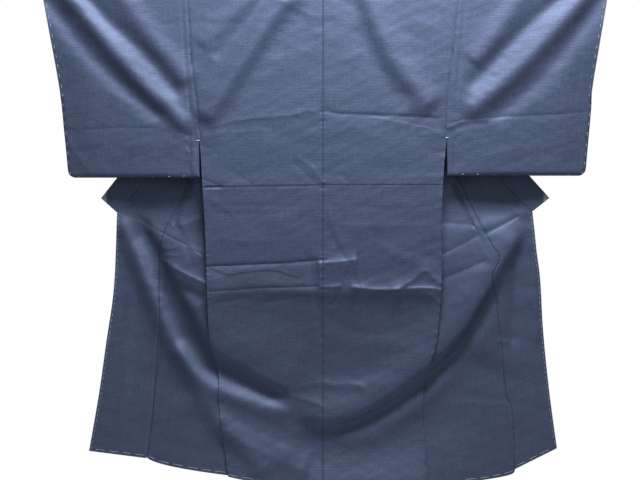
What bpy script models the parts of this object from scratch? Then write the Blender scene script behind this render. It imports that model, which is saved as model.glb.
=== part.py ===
"""Man's kimono hung on a rod, seen from behind, with both fronts opened out to the sides.

Metres. X runs to the right and Z up as the viewer of the back sees them, and Y runs away
from that viewer. The origin is the middle of the rod's axis. Each side of the garment is
measured outward from the centre seam, so the side tables hold distances, not signed X.
"""
import functools
import math

import bmesh
import bpy
import numpy as np

COLLECTION = "kimono"

# Walls, seams and the rod
WALL = 0.0016
SEAM_GAP = 0.0004
FOLDED_SEAM_GAP = 0.0010
OKUMI_SEAM_GAP = 0.0008
NECK_SEAM_GAP = 0.0018
COLLAR_THICK = 0.0030
COLLAR_WIDTH = 0.060
ROD_RADIUS = 0.014
ROD_LENGTH = 1.56
ROD_SIDES = 32
DRAPE_ANGLES = (30, 60, 90)
DRAPE_RADIUS = (ROD_RADIUS + SEAM_GAP + WALL / 2) / math.cos(math.radians(DRAPE_ANGLES[0] / 2))
DRAPE_QUARTER = DRAPE_RADIUS * math.pi / 2

# The cut: lengths of cloth measured down from the shoulder line
BODY_LENGTH = 1.370
NECK_HALF = 0.085
ARMHOLE_DROP = 0.4096
KENSAKI_DROP = 0.230
COLLAR_END_DROP = 0.720
TUCK_HEIGHT = -0.5035
TUCK_RAISE = 0.0017
TUCK_RAMP = 0.060
TUCK_STEP = 0.003
TUCK_LIP = 0.001
WRIST_OPENING = 0.280

# Cloth rows, as lengths of cloth down from the shoulder
QUARTER_TURNED = 0.045
ARMHOLE_LEVELS = (QUARTER_TURNED, 0.080, 0.120, 0.170, 0.225, 0.285, 0.345, ARMHOLE_DROP)
TUCK_LEVELS = (0.465, 0.523, 0.5275)
LOWER_START = 0.565
LOWER_SPANS = ((LOWER_START, 0.800, 6), (0.800, 1.200, 14), (1.200, BODY_LENGTH, 5))
NECK_COLUMNS = 3
FLAP_COLUMNS = 7
ROLL_COLUMNS = 3
HIDDEN_COLUMNS = 2
SHOULDER_STEP = 0.003
OKUMI_COLUMNS = 5
OKUMI_POINT = 0.018
SLEEVE_COLUMNS = 9
COLLAR_STEPS = 40
COLLAR_COLUMNS = 2

# Depths of the layers, behind (+) or before (-) the rod's axis
BACK_DEPTH = ((0.0, -DRAPE_RADIUS), (-0.40, -0.0143), (-0.80, -0.0125), (-1.30, -0.0105))
LAYER_GAP = ((0.0, 0.0450), (-0.55, 0.0440), (-0.75, 0.0330), (-0.875, 0.0230), (-0.99, 0.0150),
             (-1.30, 0.0095))
HIDDEN_GAP = 0.0055
HIDDEN_WIDTH = ((-0.386, 0.100), (-0.500, 0.085), (-0.710, 0.055), (-0.875, 0.040), (-0.990, 0.028),
                (-1.080, 0.020), (-1.300, 0.014))
TURN_LINE = ((-0.056, 0.1050), (-0.100, 0.1180), (-0.150, 0.1380), (-0.220, 0.1630), (-0.386, 0.2165))
ROLL_RADIUS = 0.0060
NINGYO_THICK = 0.0075
SLEEVE_NARROWS = 0.0060
SHARED_RELIEF = 0.5
RELIEF_SHARED_FROM = 0.15
BACK_WALL_RISE = 0.5
WRIST_FLATTENED = 0.5
WRIST_FLATTENED_FROM = 0.75

# Outlines of each side: distance from the centre seam, and height
SIDES = {
    "left": {
        "sign": -1,
        "armhole": ((0.3515, 0.0), (0.3380, -0.186), (0.3200, -0.327), (0.3165, -0.386)),
        "side": ((0.3080, -0.414), (0.3046, -0.504), (0.2944, -0.645), (0.2920, -0.875),
                 (0.2690, -0.990), (0.2660, -1.077), (0.2430, -1.251)),
        "ningyo": ((0.3135, -0.440), (0.3125, -0.4845)),
        "cuff": ((0.7220, 0.0), (0.6780, -0.240), (0.6630, -0.370), (0.6520, -0.4845)),
        "okumi_seam": ((0.2370, -0.217), (0.3360, -0.491), (0.3650, -0.565), (0.4040, -0.628),
                       (0.4190, -0.711), (0.4200, -0.852), (0.4275, -0.936), (0.4400, -1.115),
                       (0.4530, -1.2055)),
        "front_edge": ((0.5300, -0.574), (0.5325, -0.645), (0.5400, -0.780), (0.5580, -0.906),
                       (0.5760, -1.036), (0.6016, -1.187)),
        "collar_tip": (0.5680, -0.537),
    },
    "right": {
        "sign": 1,
        "armhole": ((0.3530, 0.0), (0.3320, -0.186), (0.3174, -0.327), (0.3150, -0.386)),
        "side": ((0.3090, -0.420), (0.3030, -0.486), (0.3020, -0.772), (0.2890, -0.913),
                 (0.2650, -0.985), (0.2560, -1.077), (0.2690, -1.279)),
        "ningyo": ((0.3185, -0.440), (0.3187, -0.4794)),
        "cuff": ((0.7325, 0.0), (0.6925, -0.240), (0.6870, -0.312), (0.6720, -0.4794)),
        "okumi_seam": ((0.2370, -0.217), (0.3050, -0.380), (0.3628, -0.516), (0.4020, -0.596),
                       (0.4300, -0.660), (0.4380, -0.755), (0.4470, -0.880), (0.4600, -0.985),
                       (0.4780, -1.072), (0.4890, -1.233)),
        "front_edge": ((0.5390, -0.571), (0.5440, -0.616), (0.5500, -0.675), (0.5594, -0.749),
                       (0.5670, -0.880), (0.5827, -1.036), (0.6016, -1.180)),
        "collar_tip": (0.5786, -0.537),
    },
}
CENTRE_HEM = -1.279
CORNER_RADIUS = 0.018
EDGE_ROUND = 0.022
EDGE_COLUMNS = (0.0, 0.002, 0.009)

# Folds of the cloth: height toward the viewer of the back, how far it spreads above and below its
# line, and the line itself as signed X and Z
FOLDS = (
    # name, height, spread above, spread below, line
    ("right lip", 0.026, 0.075, 0.030,
     ((0.530, -0.585), (0.455, -0.690), (0.425, -0.742), (0.370, -0.828), (0.288, -0.930),
      (0.146, -1.038), (0.020, -1.078), (-0.060, -1.068))),
    ("left ridge", 0.022, 0.032, 0.034,
     ((-0.522, -0.585), (-0.461, -0.696), (-0.415, -0.801), (-0.372, -0.886), (-0.328, -0.947),
      (-0.266, -1.000), (-0.174, -1.043), (-0.055, -1.098))),
    ("left hollow", -0.007, 0.036, 0.030,
     ((-0.440, -0.660), (-0.366, -0.785), (-0.322, -0.865), (-0.266, -0.937), (-0.200, -0.975),
      (-0.080, -1.030))),
    ("left apron", 0.010, 0.045, 0.035,
     ((-0.356, -0.967), (-0.300, -1.060), (-0.258, -1.130), (-0.200, -1.192), (-0.148, -1.270))),
    ("seat hollow", -0.014, 0.055, 0.075,
     ((-0.290, -0.840), (-0.120, -0.890), (0.060, -0.900), (0.200, -0.872), (0.285, -0.820))),
    ("under hollow", -0.008, 0.030, 0.055,
     ((-0.130, -1.105), (0.050, -1.150), (0.180, -1.110), (0.300, -1.010), (0.390, -0.880))),
    ("left body ridge", 0.006, 0.020, 0.024,
     ((-0.133, -0.030), (-0.184, -0.086), (-0.225, -0.161), (-0.300, -0.320))),
    ("left body hollow", -0.004, 0.018, 0.020,
     ((-0.145, -0.115), (-0.210, -0.227), (-0.275, -0.330))),
    ("right body ridge", 0.006, 0.020, 0.022,
     ((0.148, -0.050), (0.192, -0.161), (0.228, -0.240), (0.284, -0.295))),
    ("right body hollow", -0.004, 0.018, 0.018,
     ((0.116, -0.055), (0.164, -0.176), (0.205, -0.250), (0.262, -0.305))),
    ("left sleeve gully", -0.005, 0.024, 0.024,
     ((-0.692, -0.020), (-0.594, -0.130), (-0.463, -0.260), (-0.390, -0.320))),
    ("left sleeve ridge", 0.009, 0.020, 0.024,
     ((-0.622, -0.020), (-0.527, -0.143), (-0.410, -0.266), (-0.352, -0.322))),
    ("left sleeve hollow", -0.004, 0.018, 0.018,
     ((-0.584, -0.025), (-0.476, -0.117), (-0.384, -0.227), (-0.352, -0.266))),
    ("left sleeve crest", 0.006, 0.018, 0.018,
     ((-0.492, -0.035), (-0.438, -0.090), (-0.397, -0.146), (-0.362, -0.178))),
    ("right sleeve gully", -0.005, 0.024, 0.024,
     ((0.692, -0.025), (0.586, -0.161), (0.481, -0.253), (0.415, -0.298))),
    ("right sleeve ridge", 0.009, 0.020, 0.024,
     ((0.640, -0.020), (0.507, -0.155), (0.389, -0.271), (0.350, -0.302))),
    ("right sleeve hollow", -0.004, 0.018, 0.018,
     ((0.590, -0.030), (0.456, -0.130), (0.360, -0.250))),
    ("right sleeve crest", 0.006, 0.018, 0.018,
     ((0.488, -0.040), (0.451, -0.089), (0.415, -0.137))),
)
FOLD_FADE = 0.16
TIGHT_ON_ROD = 0.050
SLOPE_REACH = 0.004
STEEPEST = 2.0
LOWER_FOLDS_FROM = -0.520
LOWER_FOLDS_FULL = -0.640

# Collar seam on the wall side of the rod: distance from centre, depth and height, from the middle of
# the back neck to the kensaki, and the way the band's free edge lies from it
COLLAR_NECK = (
    # x, y, z, width direction x, y, z
    (0.0000, 0.0022, 0.0150, 0.00, 0.12, 0.99),
    (0.0450, 0.0022, 0.0150, 0.00, 0.12, 0.99),
    (0.0680, 0.0040, 0.0155, 0.06, 0.10, 0.99),
    (0.0790, 0.0105, 0.0152, 0.16, 0.06, 0.98),
    (0.0830, 0.0190, 0.0100, 0.25, 0.10, 0.95),
    (0.0900, 0.0260, -0.0060, 0.36, 0.10, 0.90),
    (0.1080, 0.0295, -0.0350, 0.52, 0.03, 0.84),
    (0.1450, 0.0300, -0.0900, 0.68, 0.00, 0.73),
    (0.2370, 0.0300, -0.2170, 0.77, 0.00, 0.64),
)
COLLAR_BELOW = ((0.3300, -0.3330), (0.4300, -0.4570))
NECK_CORNER = (0.0830, 0.0190, 0.0100)
NECK_SEAM_END = 0.120
TANGENT_REACH = 0.003
FRONT_WIDTH_WAY = (0.76, 0.0, 0.65)

COLOURS = {
    # name: colour, roughness, metallic
    "navy_cloth": ((0.030, 0.045, 0.095), 0.72, 0.0),
    "pale_wood": ((0.47, 0.31, 0.17), 0.45, 0.0),
}


# Curves and blends

def smoothstep(value, start, end):
    """0 at start, 1 at end, with a soft turn at both."""
    step = np.clip((np.asarray(value, float) - start) / (end - start), 0.0, 1.0)
    return step * step * (3 - 2 * step)


def smooth_path(points, per_span=10):
    """Points along a Catmull-Rom curve through the given ones."""
    known = np.array(points, float)
    padded = np.vstack([2 * known[0] - known[1], known, 2 * known[-1] - known[-2]])
    made = []
    for index in range(len(known) - 1):
        before, start, end, after = padded[index:index + 4]
        for step in range(per_span):
            t = step / per_span
            made.append(0.5 * (2 * start + (end - before) * t
                               + (2 * before - 5 * start + 4 * end - after) * t * t
                               + (3 * start - before - 3 * end + after) * t ** 3))
    made.append(known[-1])
    return np.array(made)


def path_lengths(path):
    """Distance along the path at each of its points."""
    return np.concatenate([[0.0], np.cumsum(np.linalg.norm(np.diff(path, axis=0), axis=1))])


def along(path, distance):
    """The point of the path that lies this far along it."""
    lengths = path_lengths(path)
    return np.array([np.interp(distance, lengths, path[:, axis]) for axis in range(path.shape[1])])


def out_at(path, z):
    """Distance from the centre seam where a falling outline has height z."""
    return float(np.interp(-z, -path[:, 1], path[:, 0]))


def by_height(table, z):
    """A value from a falling table of (height, value)."""
    heights, values = zip(*table)
    return np.interp(-np.asarray(z, float), [-height for height in heights], values)


# The relief of the cloth

FOLD_PATHS = {name: smooth_path(line) for name, _, _, _, line in FOLDS}


def fold_height(fold, x, z):
    """How far one fold lifts the cloth at each point (x, z)."""
    name, height, above, below, _ = fold
    path = FOLD_PATHS[name]
    start, step = path[:-1], np.diff(path, axis=0)
    size = np.sum(step ** 2, axis=1)
    point = np.stack([x.ravel(), z.ravel()], 1)[:, None, :] - start[None]
    t = np.clip(np.sum(point * step, 2) / size, 0, 1)
    off = point - t[..., None] * step
    distance = np.linalg.norm(off, axis=2)
    nearest = np.argmin(distance, axis=1)
    row = np.arange(len(nearest))
    lengths = path_lengths(path)
    place = lengths[nearest] + t[row, nearest] * np.sqrt(size[nearest])
    span = FOLD_FADE * lengths[-1]
    fade = smoothstep(place, 0, span) * smoothstep(lengths[-1] - place, 0, span)
    spread = np.where(off[row, nearest, 1] > 0, above, below)
    lift = height * fade * np.exp(-(distance[row, nearest] / spread) ** 2)
    return lift.reshape(x.shape)


def relief(x, z):
    """Sum of all folds: metres toward the viewer of the back."""
    x, z = np.broadcast_arrays(np.asarray(x, float), np.asarray(z, float))
    total = sum(fold_height(fold, x, z) for fold in FOLDS)
    return total * smoothstep(-z, 0.0, TIGHT_ON_ROD)


def low_relief(x, z):
    """The folds that reach the opened fronts, which the sleeves cover higher up."""
    return relief(x, z) * smoothstep(-np.asarray(z, float), -LOWER_FOLDS_FROM, -LOWER_FOLDS_FULL)


def steepness(x, z):
    """How much longer a step in Y is than a step square to the cloth."""
    slope_x = (relief(x + SLOPE_REACH, z) - relief(x - SLOPE_REACH, z)) / (2 * SLOPE_REACH)
    slope_z = (relief(x, z + SLOPE_REACH) - relief(x, z - SLOPE_REACH)) / (2 * SLOPE_REACH)
    return np.minimum(np.sqrt(1 + slope_x ** 2 + slope_z ** 2), STEEPEST)


def back_depth(x, z):
    """Y of the back's cloth, with the tuck's overlap standing proud of the cloth below it."""
    tuck_top = TUCK_HEIGHT + TUCK_STEP
    rise = smoothstep(z, TUCK_HEIGHT + TUCK_RAMP, tuck_top) * smoothstep(z, TUCK_HEIGHT - TUCK_LIP, tuck_top)
    return by_height(BACK_DEPTH, z) - relief(x, z) - TUCK_RAISE * rise


def front_depth(x, z):
    """Y of the opened fronts, which lie behind the back and the sleeves."""
    gap = by_height(LAYER_GAP, z)
    low = smoothstep(-np.asarray(z, float), -LOWER_FOLDS_FROM, -LOWER_FOLDS_FULL)
    return by_height(BACK_DEPTH, z) + gap * (1 + (steepness(x, z) - 1) * low) - low_relief(x, z)


# Rows of cloth

def fall_levels():
    """Lengths of cloth from the rod's top down to the hem, one for each row."""
    levels = [DRAPE_RADIUS * math.radians(angle) for angle in DRAPE_ANGLES]
    levels += list(ARMHOLE_LEVELS + TUCK_LEVELS)
    for start, end, rows in LOWER_SPANS:
        levels += list(np.linspace(start, end, rows, endpoint=False))
    return levels + [BODY_LENGTH]


def hang(level, hem):
    """Depth and height of cloth this far down from the shoulder line, to a hem at height hem."""
    if level < DRAPE_QUARTER:
        angle = level / DRAPE_RADIUS
        return DRAPE_RADIUS * math.sin(angle), DRAPE_RADIUS * math.cos(angle)
    straight = -(level - DRAPE_QUARTER)
    knee = -(LOWER_START - DRAPE_QUARTER)
    if level <= LOWER_START:
        return DRAPE_RADIUS, straight
    return DRAPE_RADIUS, knee + (hem - knee) * (level - LOWER_START) / (BODY_LENGTH - LOWER_START)


class Side:
    """The outlines of one side of the garment as smooth paths."""

    def __init__(self, name):
        table = SIDES[name]
        self.name = name
        self.sign = table["sign"]
        self.edge = smooth_path(table["armhole"] + table["side"])
        self.ningyo = smooth_path(table["armhole"][-1:] + table["ningyo"])
        self.cuff = smooth_path(table["cuff"])
        self.okumi_seam = smooth_path(table["okumi_seam"])
        self.front_edge = smooth_path(table["front_edge"])
        self.side_hem = table["side"][-1][1]
        self.armhole_end = DRAPE_QUARTER - ARMHOLE_DROP
        self.sleeve_bottom = table["ningyo"][-1][1]
        neck = [row[:3] for row in COLLAR_NECK]
        ways = [row[3:] for row in COLLAR_NECK]
        depth = COLLAR_NECK[-1][1]
        below = [(out, depth, z) for out, z in COLLAR_BELOW + (table["front_edge"][0],)]
        self.collar_seam = smooth_path(neck + below)
        self.collar_ways = smooth_path(ways + [FRONT_WIDTH_WAY] * len(below))
        self.collar_lengths = path_lengths(self.collar_seam)
        self.neck_point = self.collar_distance(NECK_CORNER)
        self.kensaki = self.collar_distance(COLLAR_NECK[-1][:3])

    def collar_distance(self, place):
        """Distance along the collar seam of its point nearest this place."""
        away = np.linalg.norm(self.collar_seam - np.array(place), axis=1)
        return self.collar_lengths[int(np.argmin(away))]

    def collar_at(self, distance):
        """Seam point and width direction of the collar band at a distance from the back neck."""
        point = along(self.collar_seam, distance)
        ahead = along(self.collar_seam, min(distance + TANGENT_REACH, self.collar_lengths[-1]))
        behind = along(self.collar_seam, max(distance - TANGENT_REACH, 0.0))
        tangent = (ahead - behind) / np.linalg.norm(ahead - behind)
        way = [np.interp(distance, self.collar_lengths, self.collar_ways[:, axis]) for axis in range(3)]
        way = way - tangent * np.dot(way, tangent)
        return point, way / np.linalg.norm(way)

    def sleeve_inner(self, z):
        """Distance from the centre seam to the sleeve's inner edge."""
        if z >= self.armhole_end:
            return out_at(self.edge, z) + SEAM_GAP
        return out_at(self.ningyo, z) + SEAM_GAP

    @functools.lru_cache(maxsize=None)
    def back_edge(self, level):
        """The back's outer edge at this length of cloth."""
        depth, z = hang(level, self.side_hem)
        out = out_at(self.edge, z)
        if level <= DRAPE_QUARTER:
            return np.array([out, -depth, z])
        return np.array([out, float(back_depth(self.sign * out, z)), z])

    @functools.lru_cache(maxsize=None)
    def front_side_edge(self, level):
        """The front's outer edge: armhole, then side seam just behind the back's edge."""
        edge = self.back_edge(level)
        if level <= DRAPE_QUARTER:
            return edge * np.array([1, -1, 1])
        steep = float(steepness(self.sign * edge[0], edge[2]))
        behind = edge[1] + (WALL + FOLDED_SEAM_GAP) * steep
        if level < ARMHOLE_DROP:
            seam = self.back_edge(ARMHOLE_DROP)[1] + WALL + FOLDED_SEAM_GAP
            share = (level - DRAPE_QUARTER) / (ARMHOLE_DROP - DRAPE_QUARTER)
            behind = DRAPE_RADIUS + (seam - DRAPE_RADIUS) * share
        return np.array([edge[0], behind, edge[2]])

    def inner_edge(self, level):
        """The front's inner edge: round the rod, collar seam down to the kensaki, then the okumi seam."""
        if level < QUARTER_TURNED:
            depth, z = hang(level, self.side_hem)
            return np.array([NECK_HALF, depth, z])
        if level < KENSAKI_DROP:
            share = level / KENSAKI_DROP
            seam, way = self.collar_at(self.neck_point + (self.kensaki - self.neck_point) * share)
            gap = NECK_SEAM_GAP if level < NECK_SEAM_END else SEAM_GAP
            return seam - way * gap
        return self.okumi_seam_at(level)

    def okumi_seam_at(self, level):
        """The seam between front and okumi at this length of cloth."""
        total = path_lengths(self.okumi_seam)[-1]
        distance = total * (level - KENSAKI_DROP) / (BODY_LENGTH - KENSAKI_DROP)
        out, z = along(self.okumi_seam, distance)
        return np.array([out, float(front_depth(self.sign * out, z)), z])

    def okumi_outer_at(self, level):
        """The okumi's outer edge: along the collar, then free down to the hem corner."""
        if level <= COLLAR_END_DROP:
            share = (level - KENSAKI_DROP) / (COLLAR_END_DROP - KENSAKI_DROP)
            distance = self.kensaki + (self.collar_lengths[-1] - self.kensaki) * share
            seam, way = self.collar_at(distance)
            return seam - way * SEAM_GAP
        total = path_lengths(self.front_edge)[-1]
        distance = total * (level - COLLAR_END_DROP) / (BODY_LENGTH - COLLAR_END_DROP)
        out, z = along(self.front_edge, distance)
        return np.array([out, float(front_depth(self.sign * out, z)), z])


# Meshes

def signed(points, sign):
    """Distances from the centre turned into X on this side."""
    return points * np.array([sign, 1, 1])


def new_object(name, mesh, material):
    """Puts a mesh in the part's collection."""
    thing = bpy.data.objects.new(name, mesh)
    mesh.materials.append(material)
    bpy.data.collections[COLLECTION].objects.link(thing)
    return thing


def grid_mesh(name, grids, merge=0.00002):
    """One open surface from grids of points; points that coincide are joined."""
    form = bmesh.new()
    for grid in grids:
        rows = [[form.verts.new(point) for point in row] for row in grid]
        for upper, lower in zip(rows, rows[1:]):
            for column in range(len(upper) - 1):
                form.faces.new((upper[column], upper[column + 1], lower[column + 1], lower[column]))
    bmesh.ops.remove_doubles(form, verts=form.verts, dist=merge)
    bmesh.ops.recalc_face_normals(form, faces=form.faces)
    mesh = bpy.data.meshes.new(name)
    form.to_mesh(mesh)
    form.free()
    mesh.shade_smooth()
    return mesh


def cloth_wall(name, grids, material, thickness=WALL):
    """A surface given its cloth's thickness, half to each side."""
    thing = new_object(name, grid_mesh(name, grids), material)
    wall = thing.modifiers.new("thickness", "SOLIDIFY")
    wall.thickness = thickness
    wall.offset = 0.0
    return thing


# The body lengths

def shoulder_outs(outer):
    """Distances of the body's columns along the shoulder line, close together beside the neck."""
    near = NECK_HALF + SHOULDER_STEP * np.arange(FLAP_COLUMNS + ROLL_COLUMNS + 1)
    return np.concatenate([near, np.linspace(near[-1], outer, HIDDEN_COLUMNS + 1)[1:]])


def back_rows(side):
    """Rows of the back from the hem up to the shoulder line, centre seam first."""
    rows = []
    flap = FLAP_COLUMNS + ROLL_COLUMNS + HIDDEN_COLUMNS
    for level in reversed([0.0] + fall_levels()):
        edge = side.back_edge(level)
        depth, centre_z = hang(level, CENTRE_HEM)
        on_rod = level <= DRAPE_QUARTER
        beside = shoulder_outs(edge[0]) if on_rod else np.linspace(NECK_HALF, edge[0], flap + 1)
        outs = np.concatenate([np.linspace(SEAM_GAP / 2, NECK_HALF, NECK_COLUMNS + 1), beside[1:]])
        heights = centre_z + (edge[2] - centre_z) * (outs / edge[0]) ** 2
        depths = np.full(len(outs), -depth) if on_rod else back_depth(side.sign * outs, heights)
        rows.append(np.stack([outs, depths, heights], 1))
    return rows


def quarter_turned_row(inner, outer):
    """The front row where the inner edge has turned square to the cloth, toward the wall."""
    start = np.array([inner[0] + ROLL_RADIUS, DRAPE_RADIUS, inner[2]])
    bend = np.array([inner[0], DRAPE_RADIUS + ROLL_RADIUS, inner[2]])
    points = [inner + (bend - inner) * share for share in np.linspace(0, 1, FLAP_COLUMNS + 1)[:-1]]
    for share in np.linspace(0, 1, ROLL_COLUMNS + 1):
        turn = math.pi / 2 * (1 - share)
        points.append(start + ROLL_RADIUS * np.array([-math.sin(turn), 1 - math.cos(turn), 0.0]))
    points += [start + (outer - start) * share for share in np.linspace(0, 1, HIDDEN_COLUMNS + 1)[1:]]
    return np.array(points)


def rolled_row(side, level, inner, outer):
    """A front row that runs in behind the back, rolls round, and opens out to its inner edge."""
    z = outer[2]
    below_armhole = level >= ARMHOLE_DROP
    fold_out = float(by_height(TURN_LINE, z))
    if below_armhole:
        fold_out = outer[0] - float(by_height(HIDDEN_WIDTH, z))
    radius = min(ROLL_RADIUS, (float(by_height(LAYER_GAP, z)) - HIDDEN_GAP) / 2)
    roll_out = side.sign * (fold_out + radius)
    whole = (outer[0] - fold_out) + max(inner[0] - fold_out, SHOULDER_STEP)
    fold_z = z + (inner[2] - z) * (outer[0] - fold_out) / whole
    share = np.linspace(0, 1, FLAP_COLUMNS + 1)[:-1]
    outs = inner[0] + (fold_out + radius - inner[0]) * share
    heights = inner[2] + (fold_z - inner[2]) * share
    lift = inner[1] - float(front_depth(side.sign * inner[0], inner[2]))
    depths = front_depth(side.sign * outs, heights) + lift * (1 - share)
    flap = np.stack([outs, depths, heights], 1)
    open_depth = float(front_depth(roll_out, fold_z))
    hidden_depth = open_depth - 2 * radius
    if below_armhole:
        hidden_depth = float(back_depth(roll_out, fold_z) + HIDDEN_GAP * steepness(roll_out, fold_z))
    turn = math.pi * np.linspace(0, 1, ROLL_COLUMNS + 1)
    roll = np.stack([fold_out + radius - radius * np.sin(turn),
                     open_depth + (hidden_depth - open_depth) * (1 - np.cos(turn)) / 2,
                     np.full(len(turn), fold_z)], 1)
    share = np.linspace(0, 1, HIDDEN_COLUMNS + 1)[1:]
    hidden = roll[-1] + (outer - roll[-1]) * share[:, None]
    if below_armhole:
        near = WALL + FOLDED_SEAM_GAP
        signed_out = side.sign * hidden[:, 0]
        gap = HIDDEN_GAP + (near - HIDDEN_GAP) * share ** 3
        hidden[:, 1] = back_depth(signed_out, hidden[:, 2]) + gap * steepness(signed_out, hidden[:, 2])
    return np.concatenate([flap, roll, hidden])


def front_rows(side):
    """Rows of the front from the shoulder line down to the hem, inner edge first."""
    rows = []
    for level in [0.0] + fall_levels():
        outer = side.front_side_edge(level)
        inner = side.inner_edge(level)
        if level < QUARTER_TURNED:
            outs = shoulder_outs(outer[0])
            rows.append(np.stack([outs, np.full(len(outs), inner[1]), np.full(len(outs), inner[2])], 1))
        elif level == QUARTER_TURNED:
            rows.append(quarter_turned_row(inner, outer))
        else:
            rows.append(rolled_row(side, level, inner, outer))
    return rows


def make_body(side, material):
    """One body length: back, over the shoulder, front."""
    back = [signed(row, side.sign) for row in back_rows(side)]
    front = [signed(row, side.sign) for row in front_rows(side)]
    return cloth_wall(f"body_{side.name}", [back, front], material)


# The overlap panels

def make_okumi(side, material):
    """The overlap panel from its point at the kensaki down to the hem."""
    point_level = KENSAKI_DROP + OKUMI_POINT
    levels = [point_level] + [level for level in fall_levels() if level > point_level + OKUMI_POINT / 2]
    rows = []
    for level in levels:
        seam = side.okumi_seam_at(level)
        outer = side.okumi_outer_at(level)
        seam = seam + (outer - seam) * OKUMI_SEAM_GAP / np.linalg.norm(outer - seam)
        lift = outer[1] - float(front_depth(side.sign * outer[0], outer[2]))
        row = []
        for share in np.linspace(0, 1, OKUMI_COLUMNS + 1):
            point = seam + (outer - seam) * share
            point[1] = float(front_depth(side.sign * point[0], point[2])) + lift * share
            row.append(point)
        rows.append(signed(np.array(row), side.sign))
    return cloth_wall(f"okumi_{side.name}", [rows], material)


# The sleeves

def rounded(distance):
    """1 well inside the sleeve and 0 at a sewn edge, on a quarter of an ellipse."""
    inside = np.clip(np.asarray(distance, float) / EDGE_ROUND, 0, 1)
    return np.sqrt(1 - (1 - inside) ** 2)


def sleeve_heights(side):
    """Heights of the rows down one wall of the sleeve, below the rod."""
    upper = [0.0] + [DRAPE_QUARTER - level for level in ARMHOLE_LEVELS]
    lower = list(np.linspace(side.armhole_end, side.sleeve_bottom + EDGE_ROUND, 4))[1:]
    return upper + lower + [side.sleeve_bottom + edge for edge in reversed(EDGE_COLUMNS)]


def sleeve_ends(side, z):
    """Distances of the sleeve's inner and cuff edges at this height, with the round lower corner."""
    cuff = out_at(side.cuff, z)
    low = z - side.sleeve_bottom
    if low < CORNER_RADIUS:
        cuff -= CORNER_RADIUS - math.sqrt(CORNER_RADIUS ** 2 - (CORNER_RADIUS - low) ** 2)
    return side.sleeve_inner(z), cuff


def sleeve_row(side, z, columns):
    """Front and back wall points of one row; each column is a share of the width and an offset."""
    inner, cuff = sleeve_ends(side, z)
    outs = np.array([inner + (cuff - inner) * share + offset for share, offset in columns])
    place = (outs - inner) / (cuff - inner)
    lift = relief(side.sign * outs, z)
    sag = float(smoothstep(-z, 0.0, -side.sleeve_bottom))
    cuff_half = DRAPE_RADIUS - SLEEVE_NARROWS * sag
    armhole_front = float(by_height(BACK_DEPTH, z))
    if z >= side.armhole_end:
        armhole_back = side.front_side_edge(DRAPE_QUARTER - z)[1]
        sewn = np.full(len(outs), EDGE_ROUND)
    else:
        armhole_back = armhole_front + NINGYO_THICK
        sewn = outs - inner
    front = armhole_front + (-cuff_half - armhole_front) * place - lift
    back = armhole_back + (cuff_half - armhole_back) * smoothstep(place, 0.0, BACK_WALL_RISE)
    back = back - SHARED_RELIEF * lift * smoothstep(place, 0.0, RELIEF_SHARED_FROM)
    sewn = np.minimum(sewn, z - side.sleeve_bottom)
    if z < -WRIST_OPENING:
        sewn = np.minimum(sewn, cuff - outs)
    low = float(smoothstep(-z, WRIST_OPENING / 2, WRIST_OPENING))
    wrist = 1 - WRIST_FLATTENED * low * smoothstep(place, WRIST_FLATTENED_FROM, 1.0)
    middle = (front + back) / 2
    half = (back - front) / 2 * rounded(sewn) * wrist
    heights = np.full(len(outs), z)
    return np.stack([outs, middle - half, heights], 1), np.stack([outs, middle + half, heights], 1)


def make_sleeve(side, material):
    """The sleeve: both walls over the rod, sewn shut at the bottom, the lower cuff and the ningyo."""
    columns = [(0.0, edge) for edge in EDGE_COLUMNS]
    columns += [(share, 0.0) for share in np.linspace(0, 1, SLEEVE_COLUMNS + 1)[1:-1]]
    columns += [(1.0, -edge) for edge in reversed(EDGE_COLUMNS)]
    inner, cuff = sleeve_ends(side, 0.0)
    outs = [inner + (cuff - inner) * share + offset for share, offset in columns]
    over = []
    for angle in (0,) + DRAPE_ANGLES[:-1]:
        depth = -DRAPE_RADIUS * math.sin(math.radians(angle))
        height = DRAPE_RADIUS * math.cos(math.radians(angle))
        over.append(np.array([(out, depth, height) for out in outs]))
    walls = [sleeve_row(side, z, columns) for z in sleeve_heights(side)]
    front = [wall[0] for wall in walls]
    back = [wall[1] for wall in reversed(walls)]
    over_back = [row * np.array([1, -1, 1]) for row in reversed(over)]
    loop = [signed(row, side.sign) for row in over + front + back[1:] + over_back]
    return cloth_wall(f"sleeve_{side.name}", [loop], material)


# The collar

def make_collar(sides, material):
    """One folded band from tip to tip, round the back of the neck."""
    rows = []
    for side in sides:
        steps = np.linspace(0, side.collar_lengths[-1], COLLAR_STEPS + 1)
        half = []
        for distance in steps:
            seam, way = side.collar_at(distance)
            row = [seam + way * COLLAR_WIDTH * share for share in np.linspace(0, 1, COLLAR_COLUMNS + 1)]
            half.append(signed(np.array(row), side.sign))
        tip = SIDES[side.name]["collar_tip"]
        end = np.array([side.sign * tip[0], COLLAR_NECK[-1][1], tip[1]])
        last = half[-1]
        last[:] = [last[0] + (end - last[0]) * share for share in np.linspace(0, 1, COLLAR_COLUMNS + 1)]
        rows.append(half)
    left, right = rows
    band = list(reversed(left)) + right[1:]
    return cloth_wall("collar", [band], material, COLLAR_THICK)


# The rod

def make_rod(material):
    """A plain round rod along X."""
    bpy.ops.mesh.primitive_cylinder_add(vertices=ROD_SIDES, radius=ROD_RADIUS, depth=ROD_LENGTH,
                                        rotation=(0, math.pi / 2, 0))
    rod = bpy.context.object
    rod.name = rod.data.name = "rod"
    for owner in list(rod.users_collection):
        owner.objects.unlink(rod)
    bpy.data.collections[COLLECTION].objects.link(rod)
    rod.data.materials.append(material)
    rod.data.shade_smooth()
    rod.data.set_sharp_from_angle(angle=math.radians(40))
    return rod


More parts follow.
